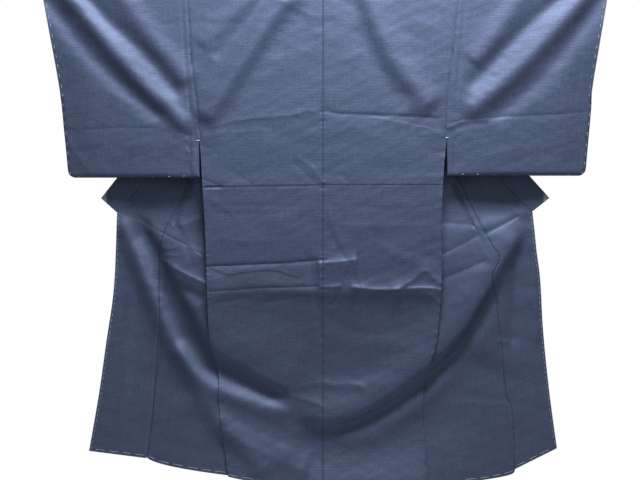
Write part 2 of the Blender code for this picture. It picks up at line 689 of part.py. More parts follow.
def make_material(name):
    """A plain finish in the colour, roughness and metallic value of its row."""
    colour, roughness, metallic = COLOURS[name]
    material = bpy.data.materials.new(name)
    material.use_nodes = True
    shader = material.node_tree.nodes["Principled BSDF"]
    shader.inputs["Base Color"].default_value = (*colour, 1)
    shader.inputs["Roughness"].default_value = roughness
    shader.inputs["Metallic"].default_value = metallic
    return material


def main():
    for thing in list(bpy.data.objects):
        bpy.data.objects.remove(thing, do_unlink=True)
    part = bpy.data.collections.new(COLLECTION)
    bpy.context.scene.collection.children.link(part)
    cloth = make_material("navy_cloth")
    sides = [Side("left"), Side("right")]
    for side in sides:
        make_body(side, cloth)
        make_okumi(side, cloth)
        make_sleeve(side, cloth)
    make_collar(sides, cloth)
    make_rod(make_material("pale_wood"))


main()
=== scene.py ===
"""Looks of a man's kimono on a rod: cloth with its creases and seams, basting threads and finishes.

Metres, in the frame of the solids. X runs to the right and Z up as the viewer of the back sees them,
and Y runs away from that viewer. The origin is the middle of the rod's axis. The side tables hold
distances outward from the centre seam, not signed X. Folds and outlines are in millimetres.
"""
import functools
import math

import bmesh
import bpy
import numpy as np
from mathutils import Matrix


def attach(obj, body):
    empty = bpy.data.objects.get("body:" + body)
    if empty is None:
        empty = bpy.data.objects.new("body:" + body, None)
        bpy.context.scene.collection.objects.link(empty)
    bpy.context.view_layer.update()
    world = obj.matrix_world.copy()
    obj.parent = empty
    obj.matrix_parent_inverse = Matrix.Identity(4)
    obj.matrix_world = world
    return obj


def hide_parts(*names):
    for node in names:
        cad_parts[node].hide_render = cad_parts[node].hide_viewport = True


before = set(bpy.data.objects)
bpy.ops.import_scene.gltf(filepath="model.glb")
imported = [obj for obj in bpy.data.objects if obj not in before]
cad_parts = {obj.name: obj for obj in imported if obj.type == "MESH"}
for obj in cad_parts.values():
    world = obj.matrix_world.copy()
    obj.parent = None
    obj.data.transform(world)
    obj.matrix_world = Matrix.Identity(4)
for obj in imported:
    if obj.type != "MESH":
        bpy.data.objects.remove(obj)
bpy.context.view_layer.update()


def mm(rows):
    """Rows of millimetres in metres."""
    return tuple(tuple(value / 1000 for value in row) for row in rows)


# Walls, seams and the rod
WALL = 0.0010
SOLID_WALL = 0.0016
SEAM_GAP = 0.0004
FOLDED_SEAM_GAP = 0.0002
OKUMI_SEAM_GAP = 0.0008
TURNING_UNDER = 0.0013
TURNING_ON_ROD = 0.0011
# Distances from its seam at which a turning has points
TURNINGS = (0.0008, 0.0040, 0.0090)
SEAM_BEND = 0.0036
INTO_COLLAR = (0.0008, 0.0060)
NECK_SEAM_GAP = 0.0018
NECK_SEAM_END = 0.120
COLLAR_THICK = 0.0030
COLLAR_WIDTH = 0.060
# Cloth over the rod follows the circle through the corners of the solids' facets
ROD_RADIUS = 0.014
ROD_LENGTH = 1.56
DRAPE_FACET = math.radians(30)
DRAPE_RADIUS = (ROD_RADIUS + SEAM_GAP + SOLID_WALL / 2) / math.cos(DRAPE_FACET / 2)
DRAPE_QUARTER = DRAPE_RADIUS * math.pi / 2
WALL_CRISP = math.radians(50)
COLLAR_CRISP = math.radians(60)
ROD_CRISP = math.radians(40)
JOINED = 0.00002
ROD_EDGE = 0.0025
ROD_EDGE_POINTS = 6
ROD_LENGTHS = 40
ROD_FACETS = 64

# The cut: lengths of cloth measured down from the shoulder line, and half the neck's width
BODY_LENGTH = 1.370
NECK_HALF = 0.085
ARMHOLE_DROP = 0.4096
KENSAKI_DROP = 0.230
COLLAR_END_DROP = 0.720
WRIST_OPENING = 0.280
# The tuck across the back: its height, its slope on the left, and how its upper cloth stands proud
TUCK_HEIGHT = -0.5035
TUCK_TILT = 0.0175
TUCK_RAISE = 0.0013
TUCK_RAMP = 0.050
TUCK_STEP = 0.0016

# Lengths of cloth at which the fronts have turned square, and have rolled round, and from which
# the folds take up height down to the hem
QUARTER_TURNED = 0.045
FIRST_ROLLED = 0.080
LOWER_START = 0.565

# Rows and columns of the cloth shells. The spans have a start, an end and a step: lengths of cloth
# for the body, and distances below the rod's axis for the sleeve.
DRAPE_ROWS = 12
BODY_ROWS = ((DRAPE_QUARTER, 0.315, 0.0052), (0.315, 0.400, 0.0024), (0.400, 0.515, 0.0046),
             (0.515, 0.545, 0.0016), (0.545, 0.712, 0.0046), (0.712, 0.865, 0.0024),
             (0.865, BODY_LENGTH, 0.0050))
SLEEVE_ROWS = ((0.0, 0.295, 0.0046), (0.295, 0.375, 0.0024), (0.375, 0.462, 0.0046))
NECK_COLUMNS = 20
NECK_CROWDED = 1.25
BODY_FINE_COLUMNS = 16
BODY_COLUMNS = 40
BODY_FINE_SHARE = 0.13
SLEEVE_FINE_COLUMNS = 20
SLEEVE_COLUMNS = 58
SLEEVE_FINE_SHARE = 0.12
EDGE_SHARE = 0.045
OKUMI_COLUMNS = 32
COLLAR_RINGS = 130
COLLAR_TIP_RINGS = 16
COLLAR_TIP_FROM = 0.030
COLLAR_FACE_POINTS = 17
COLLAR_FOLD_POINTS = 5
# Points along a front's row before it is evened out
FLAP_POINTS = 90
ROLL_POINTS = 15
HIDDEN_POINTS = 30

# Depths by height, behind (+) or before (-) the rod's axis, of the back and of the fronts far out
BACK_DEPTH = ((0.0, -DRAPE_RADIUS), (-0.15, -0.0185), (-0.35, -0.0215), (-0.505, -0.0225), (-0.62, -0.0215),
              (-0.74, -0.0180), (-0.86, -0.0060), (-0.98, 0.0065), (-1.08, 0.0095), (-1.16, 0.0070),
              (-1.30, -0.0070))
FAR_FRONT_DEPTH = ((0.0, 0.0300), (-0.55, 0.0300), (-0.80, 0.0330), (-0.95, 0.0325), (-1.10, 0.0270),
                   (-1.20, 0.0210), (-1.30, 0.0130))
FAR_FRONT_OUT = (0.27, 0.52)
# Gap by height from the back to the opened fronts
LAYER_GAP = ((0.0, 0.0450), (-0.30, 0.0450), (-0.47, 0.0440), (-0.54, 0.0350), (-0.62, 0.0240),
             (-0.72, 0.0155), (-0.82, 0.0105), (-0.92, 0.0075), (-1.00, 0.0055), (-1.08, 0.0038),
             (-1.30, 0.0027))
# The fronts' run behind the back, by height: its gap, and its width from side seam to roll
HIDDEN_GAP = ((-0.386, 0.0045), (-0.860, 0.0036), (-0.930, 0.0022), (-1.080, 0.0016), (-1.300, 0.0013))
HIDDEN_WIDTH = ((-0.386, 0.100), (-0.500, 0.085), (-0.710, 0.055), (-0.860, 0.034), (-0.930, 0.016),
                (-0.990, 0.010), (-1.300, 0.008))
# How far out the fronts roll round beside the armhole, by height
TURN_LINE = ((-0.056, 0.1050), (-0.100, 0.1180), (-0.150, 0.1380), (-0.220, 0.1630), (-0.386, 0.2165))
ROLL_RADIUS = 0.0060
# The sleeve's two walls: thicknesses, and shares of the relief and of the width
NINGYO_THICK = 0.0075
SLEEVE_NARROWS = 0.0060
SHARED_RELIEF = 0.5
RELIEF_SHARED_FROM = 0.15
BACK_WALL_RISE = 0.5
WRIST_FLATTENED = 0.5
WRIST_FLATTENED_FROM = 0.75
# Share of the opened front beyond which its creases fade out
CREASES_TO_ROLL = 0.85
# The overlap panel's first two rows below the kensaki, and the most of its width under a turning
OKUMI_TOP = 0.018
OKUMI_NEXT = 0.024
WIDEST_TURNING = 0.9

# Outlines of each side: distance from the centre seam, and height, in millimetres
SIDES = {
    "left": {
        "sign": -1,
        "armhole": mm(((351.5, 0), (338, -186), (320, -327), (316.5, -386))),
        "side": mm(((313.6, -414), (308.5, -504), (300.3, -645), (292.5, -875), (269, -990), (266, -1077),
            (243, -1251))),
        "ningyo": mm(((316.3, -440), (315.5, -484.5))),
        "cuff": mm(((722, 0), (678, -240), (663, -370), (652, -484.5))),
        "okumi_seam": mm(((237, -217), (345, -491), (377, -565), (411, -628), (423.5, -711), (420, -852),
            (427.5, -936), (440, -1115), (453, -1205.5))),
        "front_edge": mm(((530, -574), (532.5, -645), (540, -780), (558, -906), (576, -1036),
            (601.6, -1187))),
        "collar_tip": (0.5715, -0.537),
    },
    "right": {
        "sign": 1,
        "armhole": mm(((353, 0), (332, -186), (317.4, -327), (315, -386))),
        "side": mm(((312.8, -420), (307.8, -486), (303, -600), (302, -772), (289, -913), (265, -985),
            (256, -1077), (269, -1279))),
        "ningyo": mm(((317, -440), (317.2, -479.4))),
        "cuff": mm(((732.5, 0), (692.5, -240), (687, -312), (672, -479.4))),
        "okumi_seam": mm(((237, -217), (305, -380), (362.8, -516), (402, -596), (416, -621.8),
            (435.1, -658.6), (453.1, -693.4), (435, -740), (447.2, -801.5), (454.2, -860.7),
            (460.8, -912.2), (471.1, -1035.8), (487.9, -1087.3), (492.5, -1234))),
        "front_edge": mm(((539, -571), (544, -616), (550, -675), (559.4, -749), (567, -880), (582.7, -1036),
            (601.6, -1180))),
        "collar_tip": (0.583, -0.5365),
    },
}
# The back's hem at the centre seam, and how the fronts' hem sags and steps
CENTRE_HEM = -1.279
HEM_SAG_FROM = 0.95
HEM_SAG = {"left": 0.0080, "right": 0.0115}
HEM_STEP = {"left": 0.0040, "right": -0.0045}
HEM_STEP_TURN = 6
# The sleeve's lower corner, and its columns beside an edge
CORNER_RADIUS = 0.018
EDGE_ROUND = 0.009
EDGE_COLUMNS = (0.0, 0.0007, 0.0022, 0.0050, 0.0090, 0.0135)

# Folds that every layer shares, in millimetres. A row's form is round, sharp, or step, whose cloth is
# higher on the left of its line as the line runs. Heights are toward the viewer of the back, and the
# spreads are above and below the line, which is signed X and Z.
CLOTH_FOLDS = (
    # name, form, height, spread above, spread below, line
    ("right lip", "round", 17, 62, 24, ((530, -593), (494, -642), (456, -701), (422, -762), (387, -821),
     (348, -880), (294, -936), (192, -1018), (84, -1082), (-3, -1100), (-84, -1085))),
    ("left ridge", "round", 11, 22, 26, ((-535, -557), (-522, -593), (-497, -644), (-479, -685),
     (-461, -737), (-438, -793), (-415, -849), (-381, -913), (-346, -962), (-300, -1013), (-233, -1046),
     (-141, -1077), (-54, -1100))),
    ("left ridge foot", "round", -6, 40, 90, ((-561, -598), (-540, -650), (-515, -706), (-479, -790),
     (-448, -867), (-412, -939), (-371, -1008), (-335, -1069))),
    ("left furrow", "round", -14, 18, 44, ((-489, -578), (-471, -609), (-451, -644), (-428, -688),
     (-404, -747), (-374, -811), (-346, -867), (-315, -924), (-271, -964), (-220, -993), (-151, -1031),
     (-69, -1062))),
    ("left furrow brow", "round", 7, 80, 30, ((-407, -680), (-376, -737), (-346, -793), (-315, -847),
     (-284, -903), (-243, -939), (-195, -959), (-133, -998), (-54, -1031))),
    ("left ridge relief", "round", -3, 24, 26, ((-438, -798), (-412, -849), (-379, -913), (-346, -967),
     (-300, -1018), (-233, -1052), (-141, -1082), (-33, -1110))),
    ("left apron", "round", 7.5, 30, 26, ((-387, -900), (-346, -977), (-315, -1034), (-279, -1095),
     (-238, -1146), (-182, -1203), (-131, -1264))),
    ("left apron top", "round", 7, 42, 30, ((-294, -1105), (-238, -1136), (-177, -1172), (-105, -1208),
     (-28, -1236))),
    ("seat hollow", "round", -3, 45, 60, ((-289, -798), (-120, -839), (59, -849), (200, -829),
     (284, -788))),
    ("under hollow", "round", -9, 50, 90, ((-97, -1156), (69, -1187), (207, -1146), (330, -1049),
     (417, -911))),
    ("right lip shade", "round", -7, 10, 26, ((448, -757), (415, -819), (379, -880), (325, -952),
     (228, -1034), (105, -1103), (8, -1131))),
    ("second crest", "round", 2, 16, 24, ((346, -941), (300, -1023), (236, -1080), (172, -1123),
     (108, -1154), (23, -1169))),
    ("left body ridge", "round", 12, 34, 32, ((-84, -15), (-110, -51), (-154, -109), (-212, -199),
     (-271, -289), (-312, -355))),
    ("left body hollow", "round", -4, 20, 30, ((-54, -35), (-115, -109), (-177, -207), (-238, -296),
     (-287, -368))),
    ("left body upper ridge", "round", 4, 24, 16, ((-172, -10), (-205, -43), (-259, -99), (-312, -158))),
    ("left body upper hollow", "round", -2.5, 12, 18, ((-151, -25), (-182, -68), (-230, -122),
     (-284, -184))),
    ("right body ridge", "round", 10, 34, 34, ((113, -10), (125, -51), (151, -120), (187, -191),
     (238, -258), (289, -317))),
    ("right body hollow", "round", -4, 20, 34, ((79, -20), (92, -63), (123, -148), (166, -225),
     (238, -301))),
    ("left sleeve gully", "round", -7, 24, 24, ((-712, -20), (-668, -76), (-614, -145), (-538, -225),
     (-463, -289), (-381, -342))),
    ("left sleeve ridge", "round", 10, 26, 20, ((-663, -10), (-627, -53), (-568, -125), (-502, -202),
     (-435, -276), (-379, -327), (-335, -376))),
    ("left sleeve hollow", "round", -6, 20, 20, ((-612, -10), (-556, -76), (-504, -122), (-448, -176),
     (-404, -227), (-356, -286))),
    ("left sleeve crest", "round", 6, 30, 24, ((-525, -10), (-476, -81), (-433, -138), (-381, -199),
     (-346, -255))),
    ("right sleeve gully", "round", -5.5, 24, 24, ((719, -10), (668, -86), (625, -148), (558, -225),
     (492, -286), (415, -342))),
    ("right sleeve ridge", "round", 10, 28, 22, ((681, -10), (655, -43), (599, -104), (535, -173),
     (466, -240), (404, -294), (356, -335))),
    ("right sleeve hollow", "round", -6, 20, 20, ((622, -10), (545, -74), (486, -132), (422, -199),
     (364, -263))),
    ("right sleeve crest", "round", 6, 30, 24, ((515, -10), (476, -71), (430, -138), (379, -199))),
)
# Creases of one layer only
BACK_FOLDS = (
    # name, form, height, spread above, spread below, line
    ("right side seam", "sharp", -0.9, 3, 3, ((255, -1034), (256, -1085), (257, -1121), (263, -1187),
     (267, -1259))),
    ("waist bulge", "round", 4, 30, 18, ((-325, -780), (-212, -775), (-84, -772), (18, -778), (120, -772),
     (223, -775), (330, -778))),
    ("hem flare", "round", 9, 75, 60, ((-279, -1269), (-136, -1284), (18, -1290), (172, -1284),
     (300, -1274))),
    ("left tuck lip", "sharp", 0.4, 3, 4, ((-315, -516), (-212, -515), (-110, -513), (-3, -511))),
    ("right tuck lip", "sharp", 0.3, 3, 4, ((3, -509), (146, -508), (315, -509))),
    ("left tuck opening", "round", -1.6, 3, 4, ((-307, -510), (-284, -509), (-261, -509))),
    ("right storage crease", "sharp", -2.2, 4, 12, ((-8, -301), (28, -319), (95, -323), (197, -327),
     (274, -331), (325, -335))),
    ("right storage line", "step", -1, 8, 8, ((115, -326), (197, -341), (236, -351), (269, -356),
     (300, -368))),
    ("right pinch", "step", -1, 8, 6, ((274, -312), (294, -327), (320, -335))),
    ("right armpit crease", "sharp", -1.2, 4, 5, ((259, -412), (292, -420), (317, -412))),
    ("right armpit fold", "sharp", 0.9, 6, 6, ((248, -378), (284, -371), (317, -378))),
    ("right flank crease", "sharp", 1, 5, 8, ((187, -488), (236, -482), (315, -482))),
    ("right tuck crease", "sharp", -1, 4, 8, ((-8, -468), (23, -477), (69, -478))),
    ("right tuck corner", "sharp", -0.8, 4, 4, ((41, -476), (77, -506))),
    ("left storage crease", "sharp", 1.6, 14, 6, ((-305, -363), (-223, -340), (-156, -332), (-97, -327),
     (-44, -321))),
    ("left storage tick", "sharp", 1, 4, 4, ((-74, -324), (-44, -314), (-13, -317))),
    ("left second crease", "sharp", 0.9, 10, 8, ((-315, -388), (-259, -371), (-212, -369), (-146, -362))),
    ("left gather high", "sharp", 1.5, 5, 5, ((-69, -429), (-28, -460), (-13, -481), (8, -504))),
    ("left gather low", "sharp", -1.2, 5, 5, ((-82, -440), (-51, -470), (-18, -501))),
    ("left armpit crease", "sharp", -1.1, 4, 5, ((-320, -399), (-292, -409), (-261, -396))),
    ("left flank crease", "sharp", -0.8, 4, 5, ((-320, -427), (-297, -428), (-269, -418))),
    ("left tuck corner", "sharp", -1.4, 4, 5, ((-320, -484), (-287, -497), (-251, -511))),
    ("left tuck crease", "sharp", -0.7, 6, 6, ((-241, -468), (-205, -488), (-172, -506))),
    ("left top crease", "sharp", -0.8, 5, 6, ((-346, -89), (-238, -90), (-136, -89), (-18, -92))),
    ("left neck crease", "sharp", 1, 6, 6, ((-136, -17), (-59, -56), (10, -81))),
    ("left lower crease", "sharp", -3.2, 3, 7, ((-328, -713), (-225, -709), (-156, -706), (-84, -702),
     (18, -693))),
    ("left fork", "step", 1.5, 9, 9, ((-315, -706), (-266, -726), (-243, -734), (-200, -728), (-156, -723),
     (-115, -725), (-90, -734), (-49, -744))),
    ("left fork branch", "step", 1.1, 6, 6, ((-287, -778), (-253, -747), (-230, -729))),
    ("left second lower crease", "sharp", -2.4, 3, 6, ((-323, -778), (-225, -772), (-156, -767),
     (-84, -765), (10, -762))),
    ("left faint crease", "sharp", -1.1, 4, 5, ((-279, -808), (-230, -799), (-189, -789))),
    ("left faint fold", "sharp", -1.1, 4, 5, ((-161, -806), (-97, -798), (-67, -789), (-33, -790))),
    ("left centre hollow", "round", -1.8, 8, 8, ((-41, -670), (-28, -747), (-15, -824), (0, -921))),
    ("left seat light", "sharp", 0.6, 5, 5, ((-182, -821), (-120, -820))),
    ("right ledge", "sharp", 7, 12, 60, ((-20, -705), (44, -700), (92, -693))),
    ("right ledge side", "step", 1.2, 14, 14, ((72, -680), (84, -732), (102, -780))),
    ("right low ledge", "sharp", 5.5, 8, 22, ((64, -762), (110, -769), (156, -771), (212, -770))),
    ("right tent", "sharp", 4.6, 12, 14, ((172, -780), (228, -747), (261, -723), (284, -742), (325, -772))),
    ("right tent foot", "sharp", 4.4, 5, 15, ((207, -770), (261, -767), (325, -774))),
    ("right notch", "sharp", 2.8, 5, 6, ((269, -778), (294, -803), (315, -831))),
    ("right small ledge", "sharp", 2.4, 4, 8, ((-13, -762), (18, -764), (51, -762))),
    ("right hollow rim", "sharp", -1.4, 24, 14, ((-3, -839), (56, -870), (97, -883), (146, -888),
     (195, -880), (259, -849))),
    ("right slant crease", "sharp", -2, 5, 5, ((77, -693), (59, -742), (44, -778), (18, -824))),
    ("right neck of ledge", "sharp", -1.4, 5, 5, ((18, -634), (46, -675), (67, -706))),
    ("right neck slope", "sharp", 1.2, 6, 6, ((10, -557), (28, -614), (54, -665))),
    ("right high light", "round", 0.9, 14, 12, ((166, -675), (218, -696), (300, -719))),
    ("right high crease", "sharp", 0.9, 5, 8, ((-8, -683), (33, -683))),
    ("right high hollow", "round", -0.6, 10, 10, ((125, -624), (177, -655), (228, -675), (300, -691))),
    ("seat light", "round", 1.6, 12, 16, ((-23, -1023), (44, -1016), (120, -1026))),
    ("seat crumple", "sharp", 1.8, 6, 8, ((-100, -1041), (-54, -1052), (8, -1072))),
    ("seat crumple high", "sharp", 1.4, 6, 6, ((-79, -1028), (-28, -1013), (23, -1008))),
    ("seat crumple right", "sharp", 1.2, 6, 6, ((-3, -1011), (28, -1018), (74, -1013), (110, -1023))),
    ("left waist crease", "sharp", -0.9, 5, 8, ((-315, -560), (-187, -555), (-44, -560))),
    ("left waist line", "sharp", -0.7, 5, 6, ((-294, -575), (-187, -578), (-59, -573))),
    ("left waist slant", "sharp", 0.7, 7, 7, ((-279, -634), (-187, -650), (-59, -639))),
    ("right waist crease", "sharp", 0.7, 6, 8, ((8, -604), (146, -609), (305, -604))),
    ("right waist line", "sharp", -0.7, 5, 6, ((69, -557), (172, -565), (289, -557))),
    ("left waist fold", "sharp", 0.8, 8, 6, ((-312, -527), (-259, -557), (-205, -606))),
)
FRONT_FOLDS = (
    # name, form, height, spread above, spread below, line
    ("left dark wedge", "round", -3.5, 4, 6, ((-333, -476), (-351, -522), (-369, -568), (-387, -609))),
    ("left wedge light", "sharp", 1.6, 4, 6, ((-325, -501), (-338, -552), (-356, -583), (-376, -609))),
    ("left wedge hollow", "round", -6, 56, 50, ((-515, -550), (-443, -565), (-381, -586), (-325, -604),
     (-269, -621))),
    ("left upper crease", "sharp", -2.6, 6, 9, ((-484, -575), (-443, -609), (-397, -634), (-348, -660),
     (-300, -691), (-274, -711))),
    ("left bright streak", "sharp", 5, 9, 24, ((-425, -685), (-387, -711), (-351, -732), (-274, -767))),
    ("left crumple shade", "round", 2.5, 12, 36, ((-453, -604), (-417, -627), (-366, -652), (-300, -691))),
    ("left crumple", "sharp", 2, 4, 5, ((-430, -685), (-392, -684), (-371, -683), (-346, -662),
     (-315, -685), (-279, -706))),
    ("left crumple line", "sharp", -1.2, 4, 4, ((-351, -662), (-340, -693), (-330, -724))),
    ("left crumple fold", "sharp", 1.2, 4, 4, ((-422, -660), (-392, -668), (-356, -652))),
    ("left shade plane", "round", -5, 12, 16, ((-387, -762), (-340, -778), (-300, -798))),
    ("left valley patch", "round", 1, 12, 10, ((-340, -808), (-320, -834), (-294, -867))),
    ("left valley seam", "sharp", -3, 4, 4, ((-371, -790), (-325, -865), (-269, -944))),
    ("left allowance", "step", 1, 8, 8, ((-323, -481), (-353, -560), (-397, -644), (-417, -716))),
    ("left upper slant", "round", 2, 12, 14, ((-520, -560), (-443, -532), (-353, -516))),
    ("left armpit facet", "sharp", 3.6, 5, 20, ((-371, -611), (-340, -596), (-305, -583))),
    ("left seam break", "sharp", 1.4, 5, 5, ((-448, -752), (-435, -767), (-417, -798))),
    ("right shoulder light", "round", 1.6, 14, 22, ((279, -609), (338, -614), (384, -614), (453, -596),
     (530, -570))),
    ("right thin crease", "sharp", -2.6, 6, 5, ((509, -580), (466, -604), (410, -632))),
    ("right cross crease", "sharp", -1.6, 5, 11, ((289, -598), (340, -602), (381, -606), (402, -624))),
    ("right facet", "sharp", -2.4, 16, 9, ((279, -696), (323, -673), (356, -657), (407, -629))),
    ("right facet low", "sharp", -2.6, 14, 14, ((279, -757), (338, -732), (381, -714), (428, -693))),
    ("right side seam", "sharp", -2.2, 3, 3, ((258, -1034), (259, -1085), (260, -1121), (265, -1187),
     (270, -1259))),
    ("right dark wedge", "round", -3.5, 5, 4, ((330, -491), (356, -547), (376, -591), (389, -619))),
    ("right wedge hollow", "round", -6, 56, 50, ((253, -611), (325, -591), (376, -570), (443, -550),
     (520, -532))),
    ("right allowance", "step", -1, 8, 8, ((325, -486), (358, -555), (387, -614), (412, -660),
     (435, -701))),
    ("right edge light", "round", 2.5, 12, 12, ((538, -593), (545, -696), (545, -798), (550, -926))),
    ("right panel dusk", "round", -4, 16, 20, ((525, -609), (504, -680), (492, -798), (484, -926))),
    ("right nick", "sharp", 1.8, 5, 5, ((448, -900), (466, -908), (481, -903))),
    ("right low crease", "sharp", 0.9, 5, 6, ((330, -1064), (402, -1064), (494, -1067))),
    ("right seam band", "round", -1.2, 4, 4, ((451, -860), (458, -957), (474, -1039), (481, -1105),
     (486, -1238))),
    ("left seam band", "round", -1.6, 4, 4, ((-412, -824), (-422, -926), (-435, -1028), (-445, -1116),
     (-456, -1213))),
    ("left panel streak", "round", 1.6, 14, 14, ((-494, -747), (-504, -900), (-512, -1003), (-525, -1131))),
)
SLEEVE_FOLDS = (
    # name, form, height, spread above, spread below, line
    ("left sleeve crease", "sharp", -1.4, 4, 8, ((-684, -363), (-602, -362), (-515, -357), (-402, -360))),
    ("left corner crease", "sharp", 1.5, 6, 7, ((-663, -373), (-635, -419), (-586, -486))),
    ("left corner fold", "sharp", -1, 6, 6, ((-666, -406), (-622, -419), (-561, -406))),
    ("left corner line", "sharp", 0.9, 5, 5, ((-658, -348), (-627, -363), (-591, -368))),
    ("left low slant", "sharp", 1.3, 10, 9, ((-458, -435), (-397, -406), (-325, -381))),
    ("left low slant two", "sharp", -1.1, 8, 9, ((-561, -460), (-468, -432), (-387, -409))),
    ("left low slant three", "sharp", 0.9, 8, 9, ((-520, -414), (-443, -396), (-340, -371))),
    ("left sleeve allowance", "sharp", -1.8, 3, 3, ((-362, -10), (-357, -120), (-351, -214), (-344, -273),
     (-340, -319), (-334, -340))),
    ("left sewn band", "step", 1.6, 7, 5, ((-338, -378), (-337, -435), (-335, -491))),
    ("left band dent", "sharp", -1.2, 4, 4, ((-351, -391), (-340, -419), (-338, -440))),
    ("left band dent low", "sharp", 1, 4, 4, ((-346, -414), (-338, -435), (-335, -460))),
    ("left top mark", "sharp", -0.9, 5, 5, ((-407, -92), (-356, -86))),
    ("right sleeve crease", "sharp", -2, 4, 9, ((302, -353), (351, -339), (402, -333), (504, -327),
     (607, -322), (709, -312))),
    ("right second crease", "sharp", 1, 8, 7, ((361, -350), (428, -340), (489, -331))),
    ("right pinch", "sharp", 1.6, 6, 7, ((310, -360), (340, -348), (376, -337))),
    ("right pinch shade", "round", -1.6, 6, 9, ((323, -381), (340, -360), (366, -349), (397, -345),
     (433, -345))),
    ("left top line", "sharp", -1, 4, 5, ((-422, -92), (-402, -93), (-389, -90), (-366, -102))),
    ("left armpit dark", "round", -1.4, 6, 8, ((-376, -368), (-346, -376), (-333, -391))),
    ("left inner corner", "round", 2.5, 24, 24, ((-310, -409), (-310, -445), (-310, -501))),
    ("right fold mark", "sharp", -1, 4, 4, ((660, -138), (655, -209), (648, -286))),
    ("right fold mark top", "sharp", -0.9, 4, 4, ((640, -164), (714, -161))),
    ("right corner mark", "sharp", -0.7, 5, 5, ((622, -358), (637, -401), (643, -452))),
    ("right sleeve allowance", "sharp", -1.8, 3, 3, ((365, -10), (358, -107), (351, -179), (344, -248),
     (339, -289))),
    ("right sewn band", "round", -1.8, 5, 5, ((337, -376), (337, -435), (337, -491))),
    ("right armpit mark", "sharp", 1, 4, 5, ((307, -388), (330, -396), (346, -409))),
    ("right low slant", "sharp", 0.8, 9, 9, ((361, -445), (479, -414), (596, -401))),
    ("right low slant two", "sharp", -0.7, 9, 9, ((453, -460), (530, -435), (622, -424))),
)
# How the folds fade at their ends, on the rod and over the fronts
FOLD_FADE = 0.10
FADED_BELOW = -0.030
STEP_WIDTH = 0.0013
TIGHT_ON_ROD = 0.034
LOWER_FOLDS_FROM = -0.520
LOWER_FOLDS_FULL = -0.640
STEEPEST = 2.0
# The even grid on which they are worked out
CELL = 0.002
MAP_X = (-0.80, 0.80)
MAP_Z = (-1.32, 0.04)
SPREADS_KEPT = 3.2
INSIDE_MAP = 1.001
SPAN_STEPS = 8

# Puckers beside a seam, and the slow swell of the whole cloth
PUCKER_WAVES = (0.009, 0.034)
PUCKER_COUNT = 9
GROOVE_WIDTH = 0.0014
SWELL_WAVES = (0.020, 0.120)
SWELL_COUNT = 34
SWELL_HEIGHT = 0.00006
SWELL_LEAN = 0.5
SWELL_SEEDS = {"back": 3, "front": 4, "sleeve": 5, "sleeve_far": 6, "collar": 7}
COLLAR_SWELL = 0.6
SEAM_CHANGE = 0.010
SEAMS = {
    # name: seed, pucker height, pucker reach, groove depth
    "centre": (11, 0.00040, 0.0065, 0.0010),
    "armhole": (12, 0.00020, 0.0050, 0.0008),
    "flank": (13, 0.00050, 0.0060, 0.0000),
    "okumi": (14, 0.00030, 0.0050, 0.0008),
    "sleeve": (15, 0.00020, 0.0050, 0.0006),
}

# Collar seam on the wall side of the rod: distance from centre, depth and height, from the middle of
# the back neck to the kensaki, and the way the band's free edge lies from it
COLLAR_NECK = (
    # x, y, z, width direction x, y, z
    (0.0000, 0.0022, 0.0150, 0.00, 0.12, 0.99),
    (0.0450, 0.0022, 0.0150, 0.00, 0.12, 0.99),
    (0.0680, 0.0040, 0.0155, 0.06, 0.10, 0.99),
    (0.0790, 0.0105, 0.0152, 0.16, 0.06, 0.98),
    (0.0830, 0.0190, 0.0100, 0.25, 0.10, 0.95),
    (0.0900, 0.0260, -0.0060, 0.36, 0.10, 0.90),
    (0.1080, 0.0295, -0.0350, 0.52, 0.03, 0.84),
    (0.1450, 0.0300, -0.0900, 0.68, 0.00, 0.73),
    (0.2370, 0.0300, -0.2170, 0.77, 0.00, 0.64),
)
COLLAR_BELOW = ((0.3300, -0.3330), (0.4300, -0.4570))
FRONT_WIDTH_WAY = (0.76, 0.0, 0.65)
NECK_CORNER = (0.0830, 0.0190, 0.0100)
TANGENT_REACH = 0.003
TIP_LENGTH = 0.100
# Distances from the corner of its free edge between which the band turns pale with painted light: the white
# wall's light showing through the single layer of cloth at each tip
LIGHT_THROUGH_TIP_SPAN = (0.0225, 0.0195)
FLAT_FACE = 0.975
SEAM_PUFF = 0.80
PUFF_REACH = 1.1
FAR_FACE = 0.2

# Threads
THREAD_RADIUS = 0.00028
THREAD_SIDES = 6
THREAD_RINGS = 9
BASTING = {
    # name: dash, gap, distance in from the edge, radius, height over the middle of the cloth
    "hem": (0.0300, 0.0045, 0.0070, 0.00026, 0.00062),
    "edge": (0.0110, 0.0028, 0.0050, 0.00019, 0.00056),
    "sleeve": (0.0060, 0.0390, 0.0064, 0.00028, 0.00260),
    "cuff": (0.0110, 0.0140, 0.0062, 0.00024, 0.00062),
}
EDGE_BASTING_FROM = 0.004
DASH_LENGTHS = (0.8, 1.15)
DASH_GAPS = (0.8, 1.3)
DASH_WANDER = 0.0006
DASH_BOW = 3
DASH_SUNK = 0.2
THREAD_END_TURN = 5
THREAD_END_SIZE = 0.05
TACKS = (
    # side sign, distance out, height
    (-1, 0.3192, -0.3895),
    (1, 0.3170, -0.3825),
)
TACK_THREADS = 3
TACK_LENGTH = 0.0080
TACK_SPACING = 1.6

# Colours as Blender holds them
NAVY = (0.0256, 0.0372, 0.0714)
NAVY_PALE = (0.0530, 0.0708, 0.1256)
NAVY_DARK = (0.0130, 0.0190, 0.0440)
# Painted light: the grey of the white wall's light showing through the single layer of cloth at the
# collar's tips
LIGHT_THROUGH_TIP_COLOUR = (0.26, 0.265, 0.28)
COTTON = (0.72, 0.72, 0.70)
COTTON_PALE = (0.86, 0.86, 0.84)
WOOD_LIGHT = (0.52, 0.35, 0.19)
WOOD_DARK = (0.34, 0.20, 0.10)
PALE_FLOOR = (0.80, 0.80, 0.79)
ROOM_ABOVE = (0.335, 0.34, 0.345)
ROOM_BELOW = (0.28, 0.28, 0.28)
SHEEN_TINT = (0.52, 0.65, 1.0)

